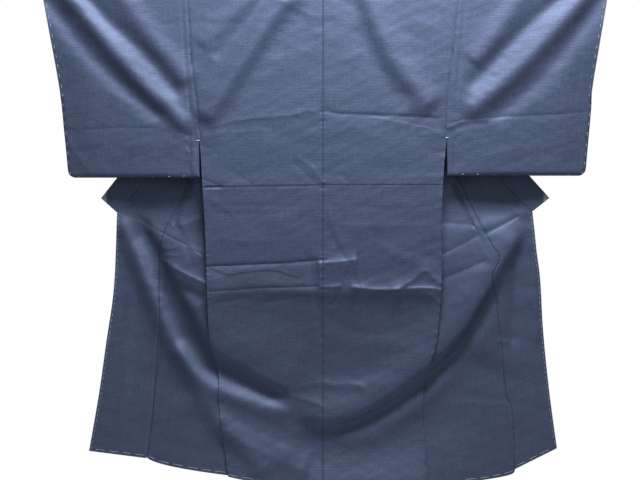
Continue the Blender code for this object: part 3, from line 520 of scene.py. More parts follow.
# The weave's noises on the flat cloth
WEAVE = {
    # name: scale along the weft and along the warp, detail, roughness, share of the tone, of the height
    "slubs": (11.0, 230.0, 3.0, 0.65, 0.0, 0.5),
    "yarns": (42.0, 560.0, 2.0, 0.6, 0.6, 0.3),
    "warp": (620.0, 14.0, 2.0, 0.5, 0.5, 0.4),
    "blotch": (9.0, 13.0, 3.0, 0.6, 0.4, 0.0),
    "specks": (130.0, 290.0, 2.0, 0.7, 1.0, 0.5),
}
TONE_SPAN = (0.20, 0.90)
EVEN_NAVY = 0.30
PALE_SLUBS = (0.60, 0.74)
PALE_SLUB_SHARE = 0.42
DARK_SLUBS = (0.44, 0.28)
DARK_SLUB_SHARE = 0.40
WEAVE_HEIGHT = 0.0006
# Roughness in the middle, and how far it varies
CLOTH_ROUGH = (0.58, 0.12)
WOOD_ROUGH = (0.42, 0.15)
# The grain of the rod
GRAIN = {
    # name: scale along the rod and across it, detail, roughness
    "bands": (1.6, 170.0, 3.0, 0.6),
    "pores": (16.0, 900.0, 2.0, 0.6),
    "streaks": (0.8, 40.0, 2.0, 0.5),
}
STREAK_SHARE = 0.4
BAND_SPAN = (0.35, 0.70)
PORE_SPAN = (0.60, 0.75)
PORE_SHARE = 0.35
PORE_DEPTH = 0.0002
COTTON_FIBRES = (900.0, 900.0, 900.0)
WHITE = (1.0, 1.0, 1.0)

# The photograph's view, the lamp and the floor
EYE = (-0.0077, -8.00, -0.6445)
VIEW_WIDTH = 1.638
VIEW_DEPTH = -0.015
SENSOR = 36.0
LAMP_PLACE = (0.20, -0.80, 0.95)
LAMP_AIM = (0.0, 0.0, -0.42)
LAMP_SIZE = (0.9, 0.35)
LAMP_POWER = 60.0
ROOM_TURN = (-0.4, 0.6)
FLOOR_SIZE = (2.8, 0.9)
FLOOR_HEIGHT = -1.75


# Curves and blends

def smoothstep(value, start, end):
    """0 at start, 1 at end, with a soft turn at both."""
    step = np.clip((np.asarray(value, float) - start) / (end - start), 0.0, 1.0)
    return step * step * (3 - 2 * step)


def smooth_path(points):
    """Points along a Catmull-Rom curve through the given ones."""
    known = np.array(points, float)
    padded = np.vstack([2 * known[0] - known[1], known, 2 * known[-1] - known[-2]])
    made = []
    for index in range(len(known) - 1):
        before, start, end, after = padded[index:index + 4]
        for t in np.arange(SPAN_STEPS) / SPAN_STEPS:
            made.append(0.5 * (2 * start + (end - before) * t
                               + (2 * before - 5 * start + 4 * end - after) * t * t
                               + (3 * start - before - 3 * end + after) * t ** 3))
    made.append(known[-1])
    return np.array(made)


def path_lengths(path):
    """Distance along the path at each of its points."""
    return np.concatenate([[0.0], np.cumsum(np.linalg.norm(np.diff(path, axis=0), axis=1))])


def along(path, distance):
    """The points of the path that lie this far along it."""
    lengths = path_lengths(path)
    return np.stack([np.interp(distance, lengths, path[:, axis]) for axis in range(path.shape[1])], -1)


def out_at(path, z):
    """Distance from the centre seam where a falling outline has height z."""
    return np.interp(-np.asarray(z, float), -path[:, 1], path[:, 0])


@functools.lru_cache(maxsize=None)
def smooth_table(table):
    """A falling table's heights, turned to rise, and its values along a smooth curve."""
    path = smooth_path(table)
    return -path[:, 0], path[:, 1]


def by_height(table, z):
    """A value from a falling table of (height, value)."""
    return np.interp(-np.asarray(z, float), *smooth_table(table))


def spaced(spans):
    """Even steps through each span, without the last span's end."""
    made = []
    for start, end, step in spans:
        made += list(np.linspace(start, end, max(1, round((end - start) / step)), endpoint=False))
    return made


# The relief of the cloth, worked out once on an even grid and read between its points

def fold_height(form, height, above, below, path, x, z):
    """How far one fold lifts the cloth at each point (x, z)."""
    start, step = path[:-1], np.diff(path, axis=0)
    size = np.sum(step ** 2, axis=1)
    point = np.stack([x.ravel(), z.ravel()], 1)[:, None, :] - start[None]
    t = np.clip(np.sum(point * step, 2) / size, 0, 1)
    off = point - t[..., None] * step
    distance = np.linalg.norm(off, axis=2)
    nearest = np.argmin(distance, axis=1)
    row = np.arange(len(nearest))
    lengths = path_lengths(path)
    place = lengths[nearest] + t[row, nearest] * np.sqrt(size[nearest])
    span = FOLD_FADE * lengths[-1]
    fade = smoothstep(lengths[-1] - place, 0, span)
    if path[0, 1] < FADED_BELOW:
        fade = fade * smoothstep(place, 0, span)
    spread = np.where(off[row, nearest, 1] > 0, above, below)
    away = distance[row, nearest]
    if form == "round":
        shape = np.exp(-(away / spread) ** 2)
    else:
        shape = np.exp(-away / spread)
    if form == "step":
        run, offset = step[nearest], off[row, nearest]
        left = np.sign(run[:, 0] * offset[:, 1] - run[:, 1] * offset[:, 0])
        shape = shape * np.tanh(left * away / STEP_WIDTH) / 2
    return (height * fade * shape).reshape(x.shape)


def fold_map(folds):
    """Heights of a table of folds on the even grid."""
    xs = np.arange(MAP_X[0], MAP_X[1] + CELL, CELL)
    zs = np.arange(MAP_Z[0], MAP_Z[1] + CELL, CELL)
    heights = np.zeros((len(zs), len(xs)))
    for _, form, *sizes, line in folds:
        ((height, above, below),) = mm([sizes])
        path = smooth_path(mm(line))
        reach = SPREADS_KEPT * max(above, below) * (1 if form == "round" else 2)
        x_from, x_to = np.searchsorted(xs, [path[:, 0].min() - reach, path[:, 0].max() + reach])
        z_from, z_to = np.searchsorted(zs, [path[:, 1].min() - reach, path[:, 1].max() + reach])
        x, z = np.meshgrid(xs[x_from:x_to], zs[z_from:z_to])
        heights[z_from:z_to, x_from:x_to] += fold_height(form, height, above, below, path, x, z)
    return heights


def read(heights, x, z):
    """Values of a grid between its points."""
    column = np.clip((np.asarray(x, float) - MAP_X[0]) / CELL, 0, heights.shape[1] - INSIDE_MAP)
    line = np.clip((np.asarray(z, float) - MAP_Z[0]) / CELL, 0, heights.shape[0] - INSIDE_MAP)
    column, line = np.broadcast_arrays(column, line)
    left, low = column.astype(int), line.astype(int)
    right, up = column - left, line - low
    bottom = heights[low, left] * (1 - right) + heights[low, left + 1] * right
    top = heights[low + 1, left] * (1 - right) + heights[low + 1, left + 1] * right
    return bottom * (1 - up) + top * up


def steepness_map(heights):
    """How much longer a step in Y is than a step square to the cloth."""
    slope_z, slope_x = np.gradient(heights, CELL)
    return np.minimum(np.sqrt(1 + slope_x ** 2 + slope_z ** 2), STEEPEST)


MAPS = {
    "cloth": fold_map(CLOTH_FOLDS),
    "back": fold_map(BACK_FOLDS),
    "front": fold_map(FRONT_FOLDS),
    "sleeve": fold_map(SLEEVE_FOLDS),
}
MAPS["steep"] = steepness_map(MAPS["cloth"])


def waves(seed, count, lengths):
    """Random waves: length, direction and phase of each."""
    draw = np.random.default_rng(seed)
    return [draw.uniform(*span, count) for span in (lengths, (0, math.pi), (0, 2 * math.pi))]


def swell(x, z, part):
    """Slow uneven rise and fall of cloth that hangs free."""
    x, z = np.broadcast_arrays(np.asarray(x, float), np.asarray(z, float))
    total = np.zeros(x.shape)
    for length, way, phase in zip(*waves(SWELL_SEEDS[part], SWELL_COUNT, SWELL_WAVES)):
        way = math.pi / 2 + (way - math.pi / 2) * SWELL_LEAN
        total += np.sin(2 * math.pi * (x * math.cos(way) + z * math.sin(way)) / length + phase)
    return SWELL_HEIGHT * total


def puckers(seam, distance, place, seed=0):
    """Small uneven puckers and the groove beside a seam."""
    start, height, reach, groove = SEAMS[seam]
    total = 0.0
    for length, _, phase in zip(*waves(start + seed, PUCKER_COUNT, PUCKER_WAVES)):
        total = total + np.sin(2 * math.pi * place / length + phase)
    distance = np.maximum(distance, 0.0)
    gathered = height * total / math.sqrt(PUCKER_COUNT) * np.exp(-distance / reach)
    return gathered - groove * np.exp(-(distance / GROOVE_WIDTH) ** 2)


def off_rod(z):
    """0 where the cloth lies tight on the rod, and 1 where it hangs free."""
    return smoothstep(-np.asarray(z, float), 0.0, TIGHT_ON_ROD)


def relief(x, z):
    """The shared folds: metres toward the viewer of the back."""
    return read(MAPS["cloth"], x, z) * off_rod(z)


def steepness(x, z):
    """How much deeper a gap square to the shared folds is along Y."""
    return read(MAPS["steep"], x, z)


def back_depth(x, z):
    """Y of the back's cloth, with the tuck's overlap standing proud of the cloth below it."""
    from_tuck = np.asarray(z, float) - TUCK_HEIGHT - TUCK_TILT * np.minimum(x, 0.0)
    rise = smoothstep(from_tuck, TUCK_RAMP, TUCK_STEP) * smoothstep(from_tuck, 0.0, TUCK_STEP)
    fine = (read(MAPS["back"], x, z) + swell(x, z, "back")) * off_rod(z)
    return by_height(BACK_DEPTH, z) - relief(x, z) - TUCK_RAISE * rise - fine


def seam_sink(side, outs, z, under):
    """How far the cloth sinks beside the seams whose other side lies on top of it."""
    sink = side.sleeve_sewn(z) * smoothstep(side.from_edge(outs, z), SEAM_BEND, 0.0)
    if side.sign < 0:
        sink = sink + smoothstep(np.abs(outs), SEAM_BEND, 0.0)
    return under * sink


def back_puckers(side, outs, z):
    """The puckers along the back's centre seam and its outer edge."""
    from_edge = side.from_edge(outs, z)
    sewn = side.sleeve_sewn(z)
    flank = puckers("armhole", from_edge, z, side.sign) * sewn
    flank = flank + puckers("flank", from_edge, z, side.sign) * (1 - sewn)
    return off_rod(z) * (puckers("centre", np.abs(outs), z) + flank)


def back_surface(side, outs, z):
    """Y of the back's cloth with its seams."""
    smooth = back_depth(side.sign * outs, z) - back_puckers(side, outs, z)
    return smooth + seam_sink(side, outs, z, TURNING_UNDER)


def okumi_depth(side, outs, z, from_seam):
    """Y of the overlap panel's cloth."""
    x = side.sign * outs
    return front_depth(x, z) - front_creases(x, z) - puckers("okumi", from_seam, z, side.sign)


def front_depth(x, z):
    """Y of the opened fronts, which lie behind the back and the sleeves."""
    gap = by_height(LAYER_GAP, z)
    low = smoothstep(-np.asarray(z, float), -LOWER_FOLDS_FROM, -LOWER_FOLDS_FULL)
    near = by_height(BACK_DEPTH, z) + gap * (1 + (steepness(x, z) - 1) * low)
    far = smoothstep(np.abs(x), *FAR_FRONT_OUT)
    return near + (by_height(FAR_FRONT_DEPTH, z) - near) * far - relief(x, z) * low


def front_creases(x, z):
    """The creases of the opened fronts alone."""
    return read(MAPS["front"], x, z) + swell(x, z, "front")


def graded(fine, wide, share):
    """Shares from 0 to 1 with fine steps first."""
    return np.concatenate([np.linspace(0, share, fine, endpoint=False), np.linspace(share, 1, wide + 1)])


BODY_SHARES = graded(BODY_FINE_COLUMNS, BODY_COLUMNS, BODY_FINE_SHARE)
# Lengths of cloth from the shoulder line down to the hem, one for each row
LEVELS = [*np.linspace(0, DRAPE_QUARTER, DRAPE_ROWS, endpoint=False), *spaced(BODY_ROWS), BODY_LENGTH]


# Outlines

def hang(level, hem):
    """Depth and height of cloth this far down from the shoulder line, to a hem at height hem."""
    if level < DRAPE_QUARTER:
        angle = level / DRAPE_RADIUS
        return DRAPE_RADIUS * math.sin(angle), DRAPE_RADIUS * math.cos(angle)
    straight = -(level - DRAPE_QUARTER)
    knee = -(LOWER_START - DRAPE_QUARTER)
    if level <= LOWER_START:
        return DRAPE_RADIUS, straight
    return DRAPE_RADIUS, knee + (hem - knee) * (level - LOWER_START) / (BODY_LENGTH - LOWER_START)


class Side:
    """The outlines of one side of the garment as smooth paths."""

    def __init__(self, name):
        table = SIDES[name]
        self.name = name
        self.sign = table["sign"]
        self.edge = smooth_path(table["armhole"] + table["side"])
        self.ningyo = smooth_path(table["armhole"][-1:] + table["ningyo"])
        self.cuff = smooth_path(table["cuff"])
        self.okumi_seam = smooth_path(table["okumi_seam"])
        self.front_edge = smooth_path(table["front_edge"])
        self.side_hem = table["side"][-1][1]
        self.armhole_end = DRAPE_QUARTER - ARMHOLE_DROP
        self.sleeve_bottom = table["ningyo"][-1][1]
        neck = [row[:3] for row in COLLAR_NECK]
        ways = [row[3:] for row in COLLAR_NECK]
        depth = COLLAR_NECK[-1][1]
        below = [(out, depth, z) for out, z in COLLAR_BELOW + (table["front_edge"][0],)]
        self.collar_seam = smooth_path(neck + below)
        self.collar_ways = smooth_path(ways + [FRONT_WIDTH_WAY] * len(below))
        self.collar_lengths = path_lengths(self.collar_seam)
        self.neck_point = self.collar_distance(NECK_CORNER)
        self.kensaki = self.collar_distance(COLLAR_NECK[-1][:3])

    def collar_distance(self, place):
        """Distance along the collar seam of its point nearest this place."""
        away = np.linalg.norm(self.collar_seam - np.array(place), axis=1)
        return self.collar_lengths[int(np.argmin(away))]

    def collar_at(self, distance):
        """Seam point, width direction and normal of the collar band at a distance from the back neck."""
        point = along(self.collar_seam, distance)
        ahead = along(self.collar_seam, min(distance + TANGENT_REACH, self.collar_lengths[-1]))
        behind = along(self.collar_seam, max(distance - TANGENT_REACH, 0.0))
        tangent = (ahead - behind) / np.linalg.norm(ahead - behind)
        way = np.array([np.interp(distance, self.collar_lengths, self.collar_ways[:, axis])
                        for axis in range(3)])
        way = way - tangent * np.dot(way, tangent)
        way = way / np.linalg.norm(way)
        return point, way, np.cross(tangent, way)

    def sleeve_inner(self, z):
        """Distance from the centre seam to the sleeve's inner edge."""
        return out_at(self.edge if z >= self.armhole_end else self.ningyo, z) + SEAM_GAP

    def sleeve_sewn(self, z):
        """1 along the armhole, where the sleeve is sewn on, and 0 below it."""
        return smoothstep(z, self.armhole_end - SEAM_CHANGE, self.armhole_end)

    def from_edge(self, outs, z):
        """Distance from the back's outer edge."""
        return np.abs(out_at(self.edge, z) - outs)

    @functools.lru_cache(maxsize=None)
    def back_edge(self, level):
        """The back's outer edge at this length of cloth."""
        depth, z = hang(level, self.side_hem)
        out = out_at(self.edge, z)
        if level <= DRAPE_QUARTER:
            return np.array([out, -depth, z])
        return np.array([out, back_depth(self.sign * out, z), z])

    @functools.lru_cache(maxsize=None)
    def front_side_edge(self, level):
        """The front's outer edge: armhole, then side seam just behind the back's edge."""
        edge = self.back_edge(level)
        if level <= DRAPE_QUARTER:
            return edge * np.array([1, -1, 1])
        steep = steepness(self.sign * edge[0], edge[2])
        behind = edge[1] + (WALL + FOLDED_SEAM_GAP) * steep
        if level < ARMHOLE_DROP:
            seam = self.back_edge(ARMHOLE_DROP)[1] + WALL + FOLDED_SEAM_GAP
            share = (level - DRAPE_QUARTER) / (ARMHOLE_DROP - DRAPE_QUARTER)
            behind = DRAPE_RADIUS + (seam - DRAPE_RADIUS) * share
        return np.array([edge[0], behind, edge[2]])

    def band_at(self, level):
        """The collar band beside the front, or below the kensaki beside the overlap panel."""
        start, end, share = self.neck_point, self.kensaki, level / KENSAKI_DROP
        if level > KENSAKI_DROP:
            start, end = self.kensaki, self.collar_lengths[-1]
            share = (level - KENSAKI_DROP) / (COLLAR_END_DROP - KENSAKI_DROP)
        return self.collar_at(start + (end - start) * share)

    def front_point(self, outline, level, first):
        """The opened front's point on an outline that runs from the level first down to the hem."""
        distance = path_lengths(outline)[-1] * (level - first) / (BODY_LENGTH - first)
        out, z = along(outline, distance)
        return np.array([out, front_depth(self.sign * out, z), z])

    def inner_edge(self, level):
        """The front's inner edge: round the rod, collar seam down to the kensaki, then the okumi seam."""
        if level < QUARTER_TURNED:
            return np.array([NECK_HALF, *hang(level, self.side_hem)])
        if level < KENSAKI_DROP:
            seam, way, _ = self.band_at(level)
            return seam - way * (NECK_SEAM_GAP if level < NECK_SEAM_END else SEAM_GAP)
        return self.okumi_seam_at(level)

    def okumi_seam_at(self, level):
        """The seam between front and okumi at this length of cloth."""
        return self.front_point(self.okumi_seam, level, KENSAKI_DROP)

    def okumi_outer_at(self, level):
        """The okumi's outer edge: along the collar, then free down to the hem corner."""
        if level <= COLLAR_END_DROP:
            seam, way, _ = self.band_at(level)
            return seam - way * SEAM_GAP
        return self.front_point(self.front_edge, level, COLLAR_END_DROP)


# Meshes. A cloth grid is rows of points, each with its place on the flat cloth.

def signed(points, sign):
    """Distances from the centre turned into X on this side."""
    return points * np.array([sign, 1, 1])


def new_object(name, mesh, material):
    """An object in the scene from a mesh and its one material."""
    thing = bpy.data.objects.new(name, mesh)
    mesh.materials.append(material)
    bpy.context.scene.collection.objects.link(thing)
    return thing


def add_faces(form, flat, rows, places, closed=False):
    """Faces between rows of corners, whose places on the flat cloth are given row by row."""
    count = len(rows[0])
    for line in range(len(rows) - 1):
        for column in range(count if closed else count - 1):
            after = (column + 1) % count
            corners = ((line, column), (line, after), (line + 1, after), (line + 1, column))
            face = form.faces.new([rows[r][c] for r, c in corners])
            for loop, (r, c) in zip(face.loops, corners):
                loop[flat].uv = places[r][c]


def finished_mesh(name, form, crisp):
    """The mesh of a form, smooth but for edges that bend more than the angle crisp."""
    bmesh.ops.recalc_face_normals(form, faces=form.faces)
    mesh = bpy.data.meshes.new(name)
    form.to_mesh(mesh)
    form.free()
    mesh.shade_smooth()
    mesh.set_sharp_from_angle(angle=crisp)
    return mesh


def cloth_wall(name, grids, material):
    """Cloth from grids of (points, flat places), joined where they meet, with crisp cut edges."""
    form = bmesh.new()
    flat = form.loops.layers.uv.new("cloth")
    for points, places in grids:
        add_faces(form, flat, [[form.verts.new(point) for point in row] for row in points], places)
    bmesh.ops.remove_doubles(form, verts=form.verts, dist=JOINED)
    thing = new_object(name, finished_mesh(name, form, math.pi), material)
    wall = thing.modifiers.new("thickness", "SOLIDIFY")
    wall.thickness = WALL
    wall.offset = 0.0
    thing.data = bpy.data.meshes.new_from_object(
        thing.evaluated_get(bpy.context.evaluated_depsgraph_get()))
    thing.modifiers.clear()
    thing.data.shade_smooth()
    thing.data.set_sharp_from_angle(angle=WALL_CRISP)
    return thing


def evenly(points, shares):
    """The points at these shares of a line's length."""
    return along(points, shares * path_lengths(points)[-1])


# The body lengths

def on_rod(outs, level, way, under=0.0):
    """Points over the rod, on the viewer's side (-1) or the wall's (1), this far under the outer cloth."""
    angle = level / DRAPE_RADIUS
    radius = DRAPE_RADIUS - under + np.zeros(len(outs))
    return np.stack([outs, way * radius * math.sin(angle), radius * math.cos(angle)], 1)


def back_grid(side):
    """The back from the hem up to the shoulder line, centre seam first."""
    neck = np.linspace(0, 1, NECK_COLUMNS + 1) ** NECK_CROWDED
    rows, places = [], []
    for level in LEVELS[::-1]:
        edge = side.back_edge(level)
        _, centre_z = hang(level, CENTRE_HEM)
        outs = np.concatenate([SEAM_GAP / 2 + (NECK_HALF - SEAM_GAP / 2) * neck,
                               (NECK_HALF + (edge[0] - NECK_HALF) * BODY_SHARES)[1:]])
        heights = centre_z + (edge[2] - centre_z) * (outs / edge[0]) ** 2
        if level <= DRAPE_QUARTER:
            row = on_rod(outs, level, -1, seam_sink(side, outs, heights, TURNING_ON_ROD))
        else:
            row = np.stack([outs, back_surface(side, outs, heights), heights], 1)
        rows.append(signed(row, side.sign))
        places.append(np.stack([outs, np.full(len(outs), -level)], 1))
    return np.array(rows), np.array(places)


def turned_grid(side, grid, column, levels, turned):
    """A turning past one column of a grid, at the lengths of cloth for which turned gives points."""
    rows, flats = [], []
    for edge, place, level in zip(grid[0][:, column], grid[1][:, column], levels):
        points = turned(edge, level)
        if points is not None:
            row = np.concatenate([[edge], signed(points, side.sign)])
            rows.append(row)
            flats.append(place + np.stack([path_lengths(row), np.zeros(len(row))], 1))
    return np.array(rows), np.array(flats)


def centre_turning(side, back):
    """The left half's turning, which lies under the right half along the centre seam."""
    outs = np.array(TURNINGS)

    def turned(_, level):
        if level <= DRAPE_QUARTER:
            return on_rod(-outs, level, -1, TURNING_ON_ROD)
        heights = np.full(len(outs), hang(level, CENTRE_HEM)[1])
        other = back_depth(-side.sign * outs, heights) - back_puckers(side, outs, heights)
        return np.stack([-outs, other + TURNING_UNDER, heights], 1)

    return turned_grid(side, back, 0, LEVELS[::-1], turned)


def armhole_turning(side, grid, levels, far):
    """The body's turning inside the sleeve, under its near (-1) or far (1) wall."""

    def turned(edge, level):
        if level > ARMHOLE_DROP:
            return None
        if level <= DRAPE_QUARTER:
            outs = edge[0] * side.sign + SEAM_GAP + np.array(TURNINGS)
            return on_rod(outs, level, far, TURNING_ON_ROD)
        near_wall, far_wall = sleeve_walls(side, edge[2], [(0.0, reach) for reach in TURNINGS])
        points = far_wall if far > 0 else near_wall
        points[:, 1] -= far * TURNING_UNDER
        return points

    return turned_grid(side, grid, -1, levels, turned)


def straight_row(inner, outer):
    """A front row that runs straight along the rod."""
    return inner + (outer - inner) * BODY_SHARES[:, None]


def quarter_turned_row(inner, outer):
    """The front row where the inner edge has turned square to the cloth, toward the wall."""
    start = np.array([inner[0] + ROLL_RADIUS, DRAPE_RADIUS, inner[2]])
    bend = np.array([inner[0], DRAPE_RADIUS + ROLL_RADIUS, inner[2]])
    flap = inner + (bend - inner) * np.linspace(0, 1, FLAP_POINTS)[:-1, None]
    turn = math.pi / 2 * (1 - np.linspace(0, 1, ROLL_POINTS))
    roll = start + ROLL_RADIUS * np.stack([-np.sin(turn), 1 - np.cos(turn), 0 * turn], 1)
    hidden = start + (outer - start) * np.linspace(0, 1, HIDDEN_POINTS)[1:, None]
    return np.concatenate([flap, roll, hidden])


def open_flap(side, level, inner, roll_start, fold_z):
    """The opened part of a front row, from its inner edge to where it begins to roll round."""
    share = np.linspace(0, 1, FLAP_POINTS)
    outs = inner[0] + (roll_start - inner[0]) * share
    heights = inner[2] + (fold_z - inner[2]) * share
    low = smoothstep(level, HEM_SAG_FROM, BODY_LENGTH)
    turn = np.sqrt(share)
    sag = HEM_SAG[side.name] * 4 * turn * (1 - turn)
    heights += low * (HEM_STEP[side.name] * (1 - share) ** HEM_STEP_TURN - sag)
    lift = inner[1] - front_depth(side.sign * inner[0], inner[2])
    depths = front_depth(side.sign * outs, heights) + lift * (1 - share)
    depths = depths - smoothstep(share, 1.0, CREASES_TO_ROLL) * front_creases(side.sign * outs, heights)
    if level > KENSAKI_DROP:
        depths = depths - puckers("okumi", inner[0] - outs, heights, side.sign)
    return np.stack([outs, depths, heights], 1)[:-1]


def rolled_row(side, level, inner, outer):
    """A front row that runs in behind the back, rolls round, and opens out to its inner edge."""
    z = outer[2]
    below_armhole = level >= ARMHOLE_DROP
    fold_out = outer[0] - by_height(HIDDEN_WIDTH, z) if below_armhole else by_height(TURN_LINE, z)
    hidden_gap = by_height(HIDDEN_GAP, z)
    radius = min(ROLL_RADIUS, (by_height(LAYER_GAP, z) - hidden_gap) / 2)
    whole = (outer[0] - fold_out) + max(inner[0] - fold_out, ROLL_RADIUS)
    fold_z = z + (inner[2] - z) * (outer[0] - fold_out) / whole
    flap = open_flap(side, level, inner, fold_out + radius, fold_z)
    roll_out = side.sign * (fold_out + radius)
    open_depth = front_depth(roll_out, fold_z)
    hidden_depth = open_depth - 2 * radius
    if below_armhole:
        hidden_depth = back_depth(roll_out, fold_z) + hidden_gap * steepness(roll_out, fold_z)
    turn = math.pi * np.linspace(0, 1, ROLL_POINTS)
    roll = np.stack([fold_out + radius - radius * np.sin(turn),
                     open_depth + (hidden_depth - open_depth) * (1 - np.cos(turn)) / 2,
                     np.full(len(turn), fold_z)], 1)
    share = np.linspace(0, 1, HIDDEN_POINTS)[1:]
    hidden = roll[-1] + (outer - roll[-1]) * share[:, None]
    if below_armhole:
        outs, _, heights = hidden.T.copy()
        gap = hidden_gap + (WALL + FOLDED_SEAM_GAP - hidden_gap) * share ** 3
        hidden[:, 1] = back_depth(side.sign * outs, heights) - back_puckers(side, outs, heights)
        hidden[:, 1] += gap * steepness(side.sign * outs, heights)
    return np.concatenate([flap, roll, hidden])


def front_row(side, level):
    """One front row, inner edge first, at the same shares of its length as the back's columns."""
    inner, outer = side.inner_edge(level), side.front_side_edge(level)
    if level <= DRAPE_QUARTER:
        return straight_row(inner, outer)
    if level < QUARTER_TURNED:
        full = side.inner_edge(QUARTER_TURNED)
        straight = straight_row(inner, outer)
        bent = evenly(quarter_turned_row(full, outer), BODY_SHARES)
        bent[:, 2] += inner[2] - full[2]
        return straight + (bent - straight) * smoothstep(level, DRAPE_QUARTER, QUARTER_TURNED)
    rolled = evenly(rolled_row(side, level, inner, outer), BODY_SHARES)
    if level >= FIRST_ROLLED:
        return rolled
    bent = evenly(quarter_turned_row(inner, outer), BODY_SHARES)
    return bent + (rolled - bent) * smoothstep(level, QUARTER_TURNED, FIRST_ROLLED)


def front_grid(side):
    """The front from the shoulder line down to the hem."""
    shoulder = side.back_edge(0.0)[0]
    rows, places = [], []
    for level in LEVELS:
        row = front_row(side, level)
        reach = path_lengths(row)
        if level <= DRAPE_QUARTER:
            row[-1] *= np.array([1, 1 - TURNING_ON_ROD / DRAPE_RADIUS, 1 - TURNING_ON_ROD / DRAPE_RADIUS])
        elif level < ARMHOLE_DROP:
            row[-1, 1] -= TURNING_UNDER
        if level > KENSAKI_DROP:
            row[0, 1] += TURNING_UNDER
        rows.append(signed(row, side.sign))
        places.append(np.stack([shoulder - (reach[-1] - reach), np.full(len(reach), level)], 1))
    return np.array(rows), np.array(places)


def okumi_turning(side, front):
    """The front's turning: inside the collar band, and under the overlap panel below the kensaki."""

    def turned(_, level):
        if level < FIRST_ROLLED:
            return None
        if level <= KENSAKI_DROP:
            seam, way, _ = side.band_at(level)
            return seam + way * np.linspace(*INTO_COLLAR, len(TURNINGS))[:, None]
        seam = side.okumi_seam_at(level)
        across = side.okumi_outer_at(level) - seam
        width = np.linalg.norm(across)
        reach = np.minimum(TURNINGS, WIDEST_TURNING * width)
        points = seam + across / width * (OKUMI_SEAM_GAP + reach)[:, None]
        points[:, 1] = okumi_depth(side, points[:, 0], points[:, 2], reach) + TURNING_UNDER
        return points

    return turned_grid(side, front, 0, LEVELS, turned)


def collar_turning(side, okumi):
    """The overlap panel's turning inside the collar band, less deep toward the band's end."""

    def turned(_, level):
        if level > COLLAR_END_DROP:
            return None
        share = (level - KENSAKI_DROP) / (COLLAR_END_DROP - KENSAKI_DROP)
        seam, way, _ = side.band_at(level)
        inside = (1 - share) * np.linspace(*INTO_COLLAR, len(TURNINGS)) + share * INTO_COLLAR[0]
        return seam + way * inside[:, None]

    return turned_grid(side, okumi, -1, okumi[1][:, 0, 1], turned)


# The overlap panels

def okumi_grid(side):
    """The overlap panel from its point at the kensaki down to the hem, seam first."""
    shares = np.linspace(0, 1, OKUMI_COLUMNS + 1)
    levels = [KENSAKI_DROP + OKUMI_TOP]
    levels += [level for level in LEVELS if level > KENSAKI_DROP + OKUMI_NEXT]
    rows, places = [], []
    for level in levels:
        seam = side.okumi_seam_at(level)
        outer = side.okumi_outer_at(level)
        width = np.linalg.norm(outer - seam)
        seam = seam + (outer - seam) * OKUMI_SEAM_GAP / width
        points = seam + (outer - seam) * shares[:, None]
        lift = outer[1] - front_depth(side.sign * outer[0], outer[2])
        points[:, 1] = okumi_depth(side, points[:, 0], points[:, 2], shares * width) + lift * shares
        rows.append(signed(points, side.sign))
        places.append(np.stack([shares * width, np.full(len(shares), level)], 1))
    return np.array(rows), np.array(places)


# The sleeves

def rounded(distance):
    """1 well inside the sleeve and 0 at a sewn edge, on a quarter of an ellipse."""
    inside = np.clip(np.asarray(distance, float) / EDGE_ROUND, 0, 1)
    return np.sqrt(1 - (1 - inside) ** 2)


def sleeve_outs(side, z, columns):
    """The sleeve's inner edge, its cuff with the round lower corner, and its columns at this height."""
    inner, cuff = side.sleeve_inner(z), out_at(side.cuff, z)
    low = z - side.sleeve_bottom
    if low < CORNER_RADIUS:
        cuff -= CORNER_RADIUS - math.sqrt(CORNER_RADIUS ** 2 - (CORNER_RADIUS - low) ** 2)
    return inner, cuff, np.array([inner + (cuff - inner) * share + offset for share, offset in columns])


def sleeve_walls(side, z, columns):
    """Front and back wall points of one row; each column is a share of the width and an offset."""
    inner, cuff, outs = sleeve_outs(side, z, columns)
    place = (outs - inner) / (cuff - inner)
    lift = relief(side.sign * outs, z)
    sag = smoothstep(-z, 0.0, -side.sleeve_bottom)
    cuff_half = DRAPE_RADIUS - SLEEVE_NARROWS * sag
    armhole_front = by_height(BACK_DEPTH, z)
    if z >= side.armhole_end:
        armhole_back = side.front_side_edge(DRAPE_QUARTER - z)[1]
        sewn = np.full(len(outs), EDGE_ROUND)
    else:
        armhole_back = armhole_front + NINGYO_THICK
        sewn = outs - inner
    front = armhole_front + (-cuff_half - armhole_front) * place - lift
    back = armhole_back + (cuff_half - armhole_back) * smoothstep(place, 0.0, BACK_WALL_RISE)
    back = back - SHARED_RELIEF * lift * smoothstep(place, 0.0, RELIEF_SHARED_FROM)
    sewn = np.minimum(sewn, z - side.sleeve_bottom)
    if z < -WRIST_OPENING:
        sewn = np.minimum(sewn, cuff - outs)
    low = smoothstep(-z, WRIST_OPENING / 2, WRIST_OPENING)
    wrist = 1 - WRIST_FLATTENED * low * smoothstep(place, WRIST_FLATTENED_FROM, 1.0)
    middle = (front + back) / 2
    half = (back - front) / 2 * rounded(sewn) * wrist
    tight = off_rod(z) * smoothstep(sewn, 0.0, EDGE_COLUMNS[-1])
    fine = read(MAPS["sleeve"], side.sign * outs, z) + swell(side.sign * outs, z, "sleeve")
    fine = tight * (fine + puckers("sleeve", outs - inner, z, side.sign))
    heights = np.full(len(outs), z)
    rear = middle + half - tight * swell(side.sign * outs, z, "sleeve_far")
    return np.stack([outs, middle - half - fine, heights], 1), np.stack([outs, rear, heights], 1)


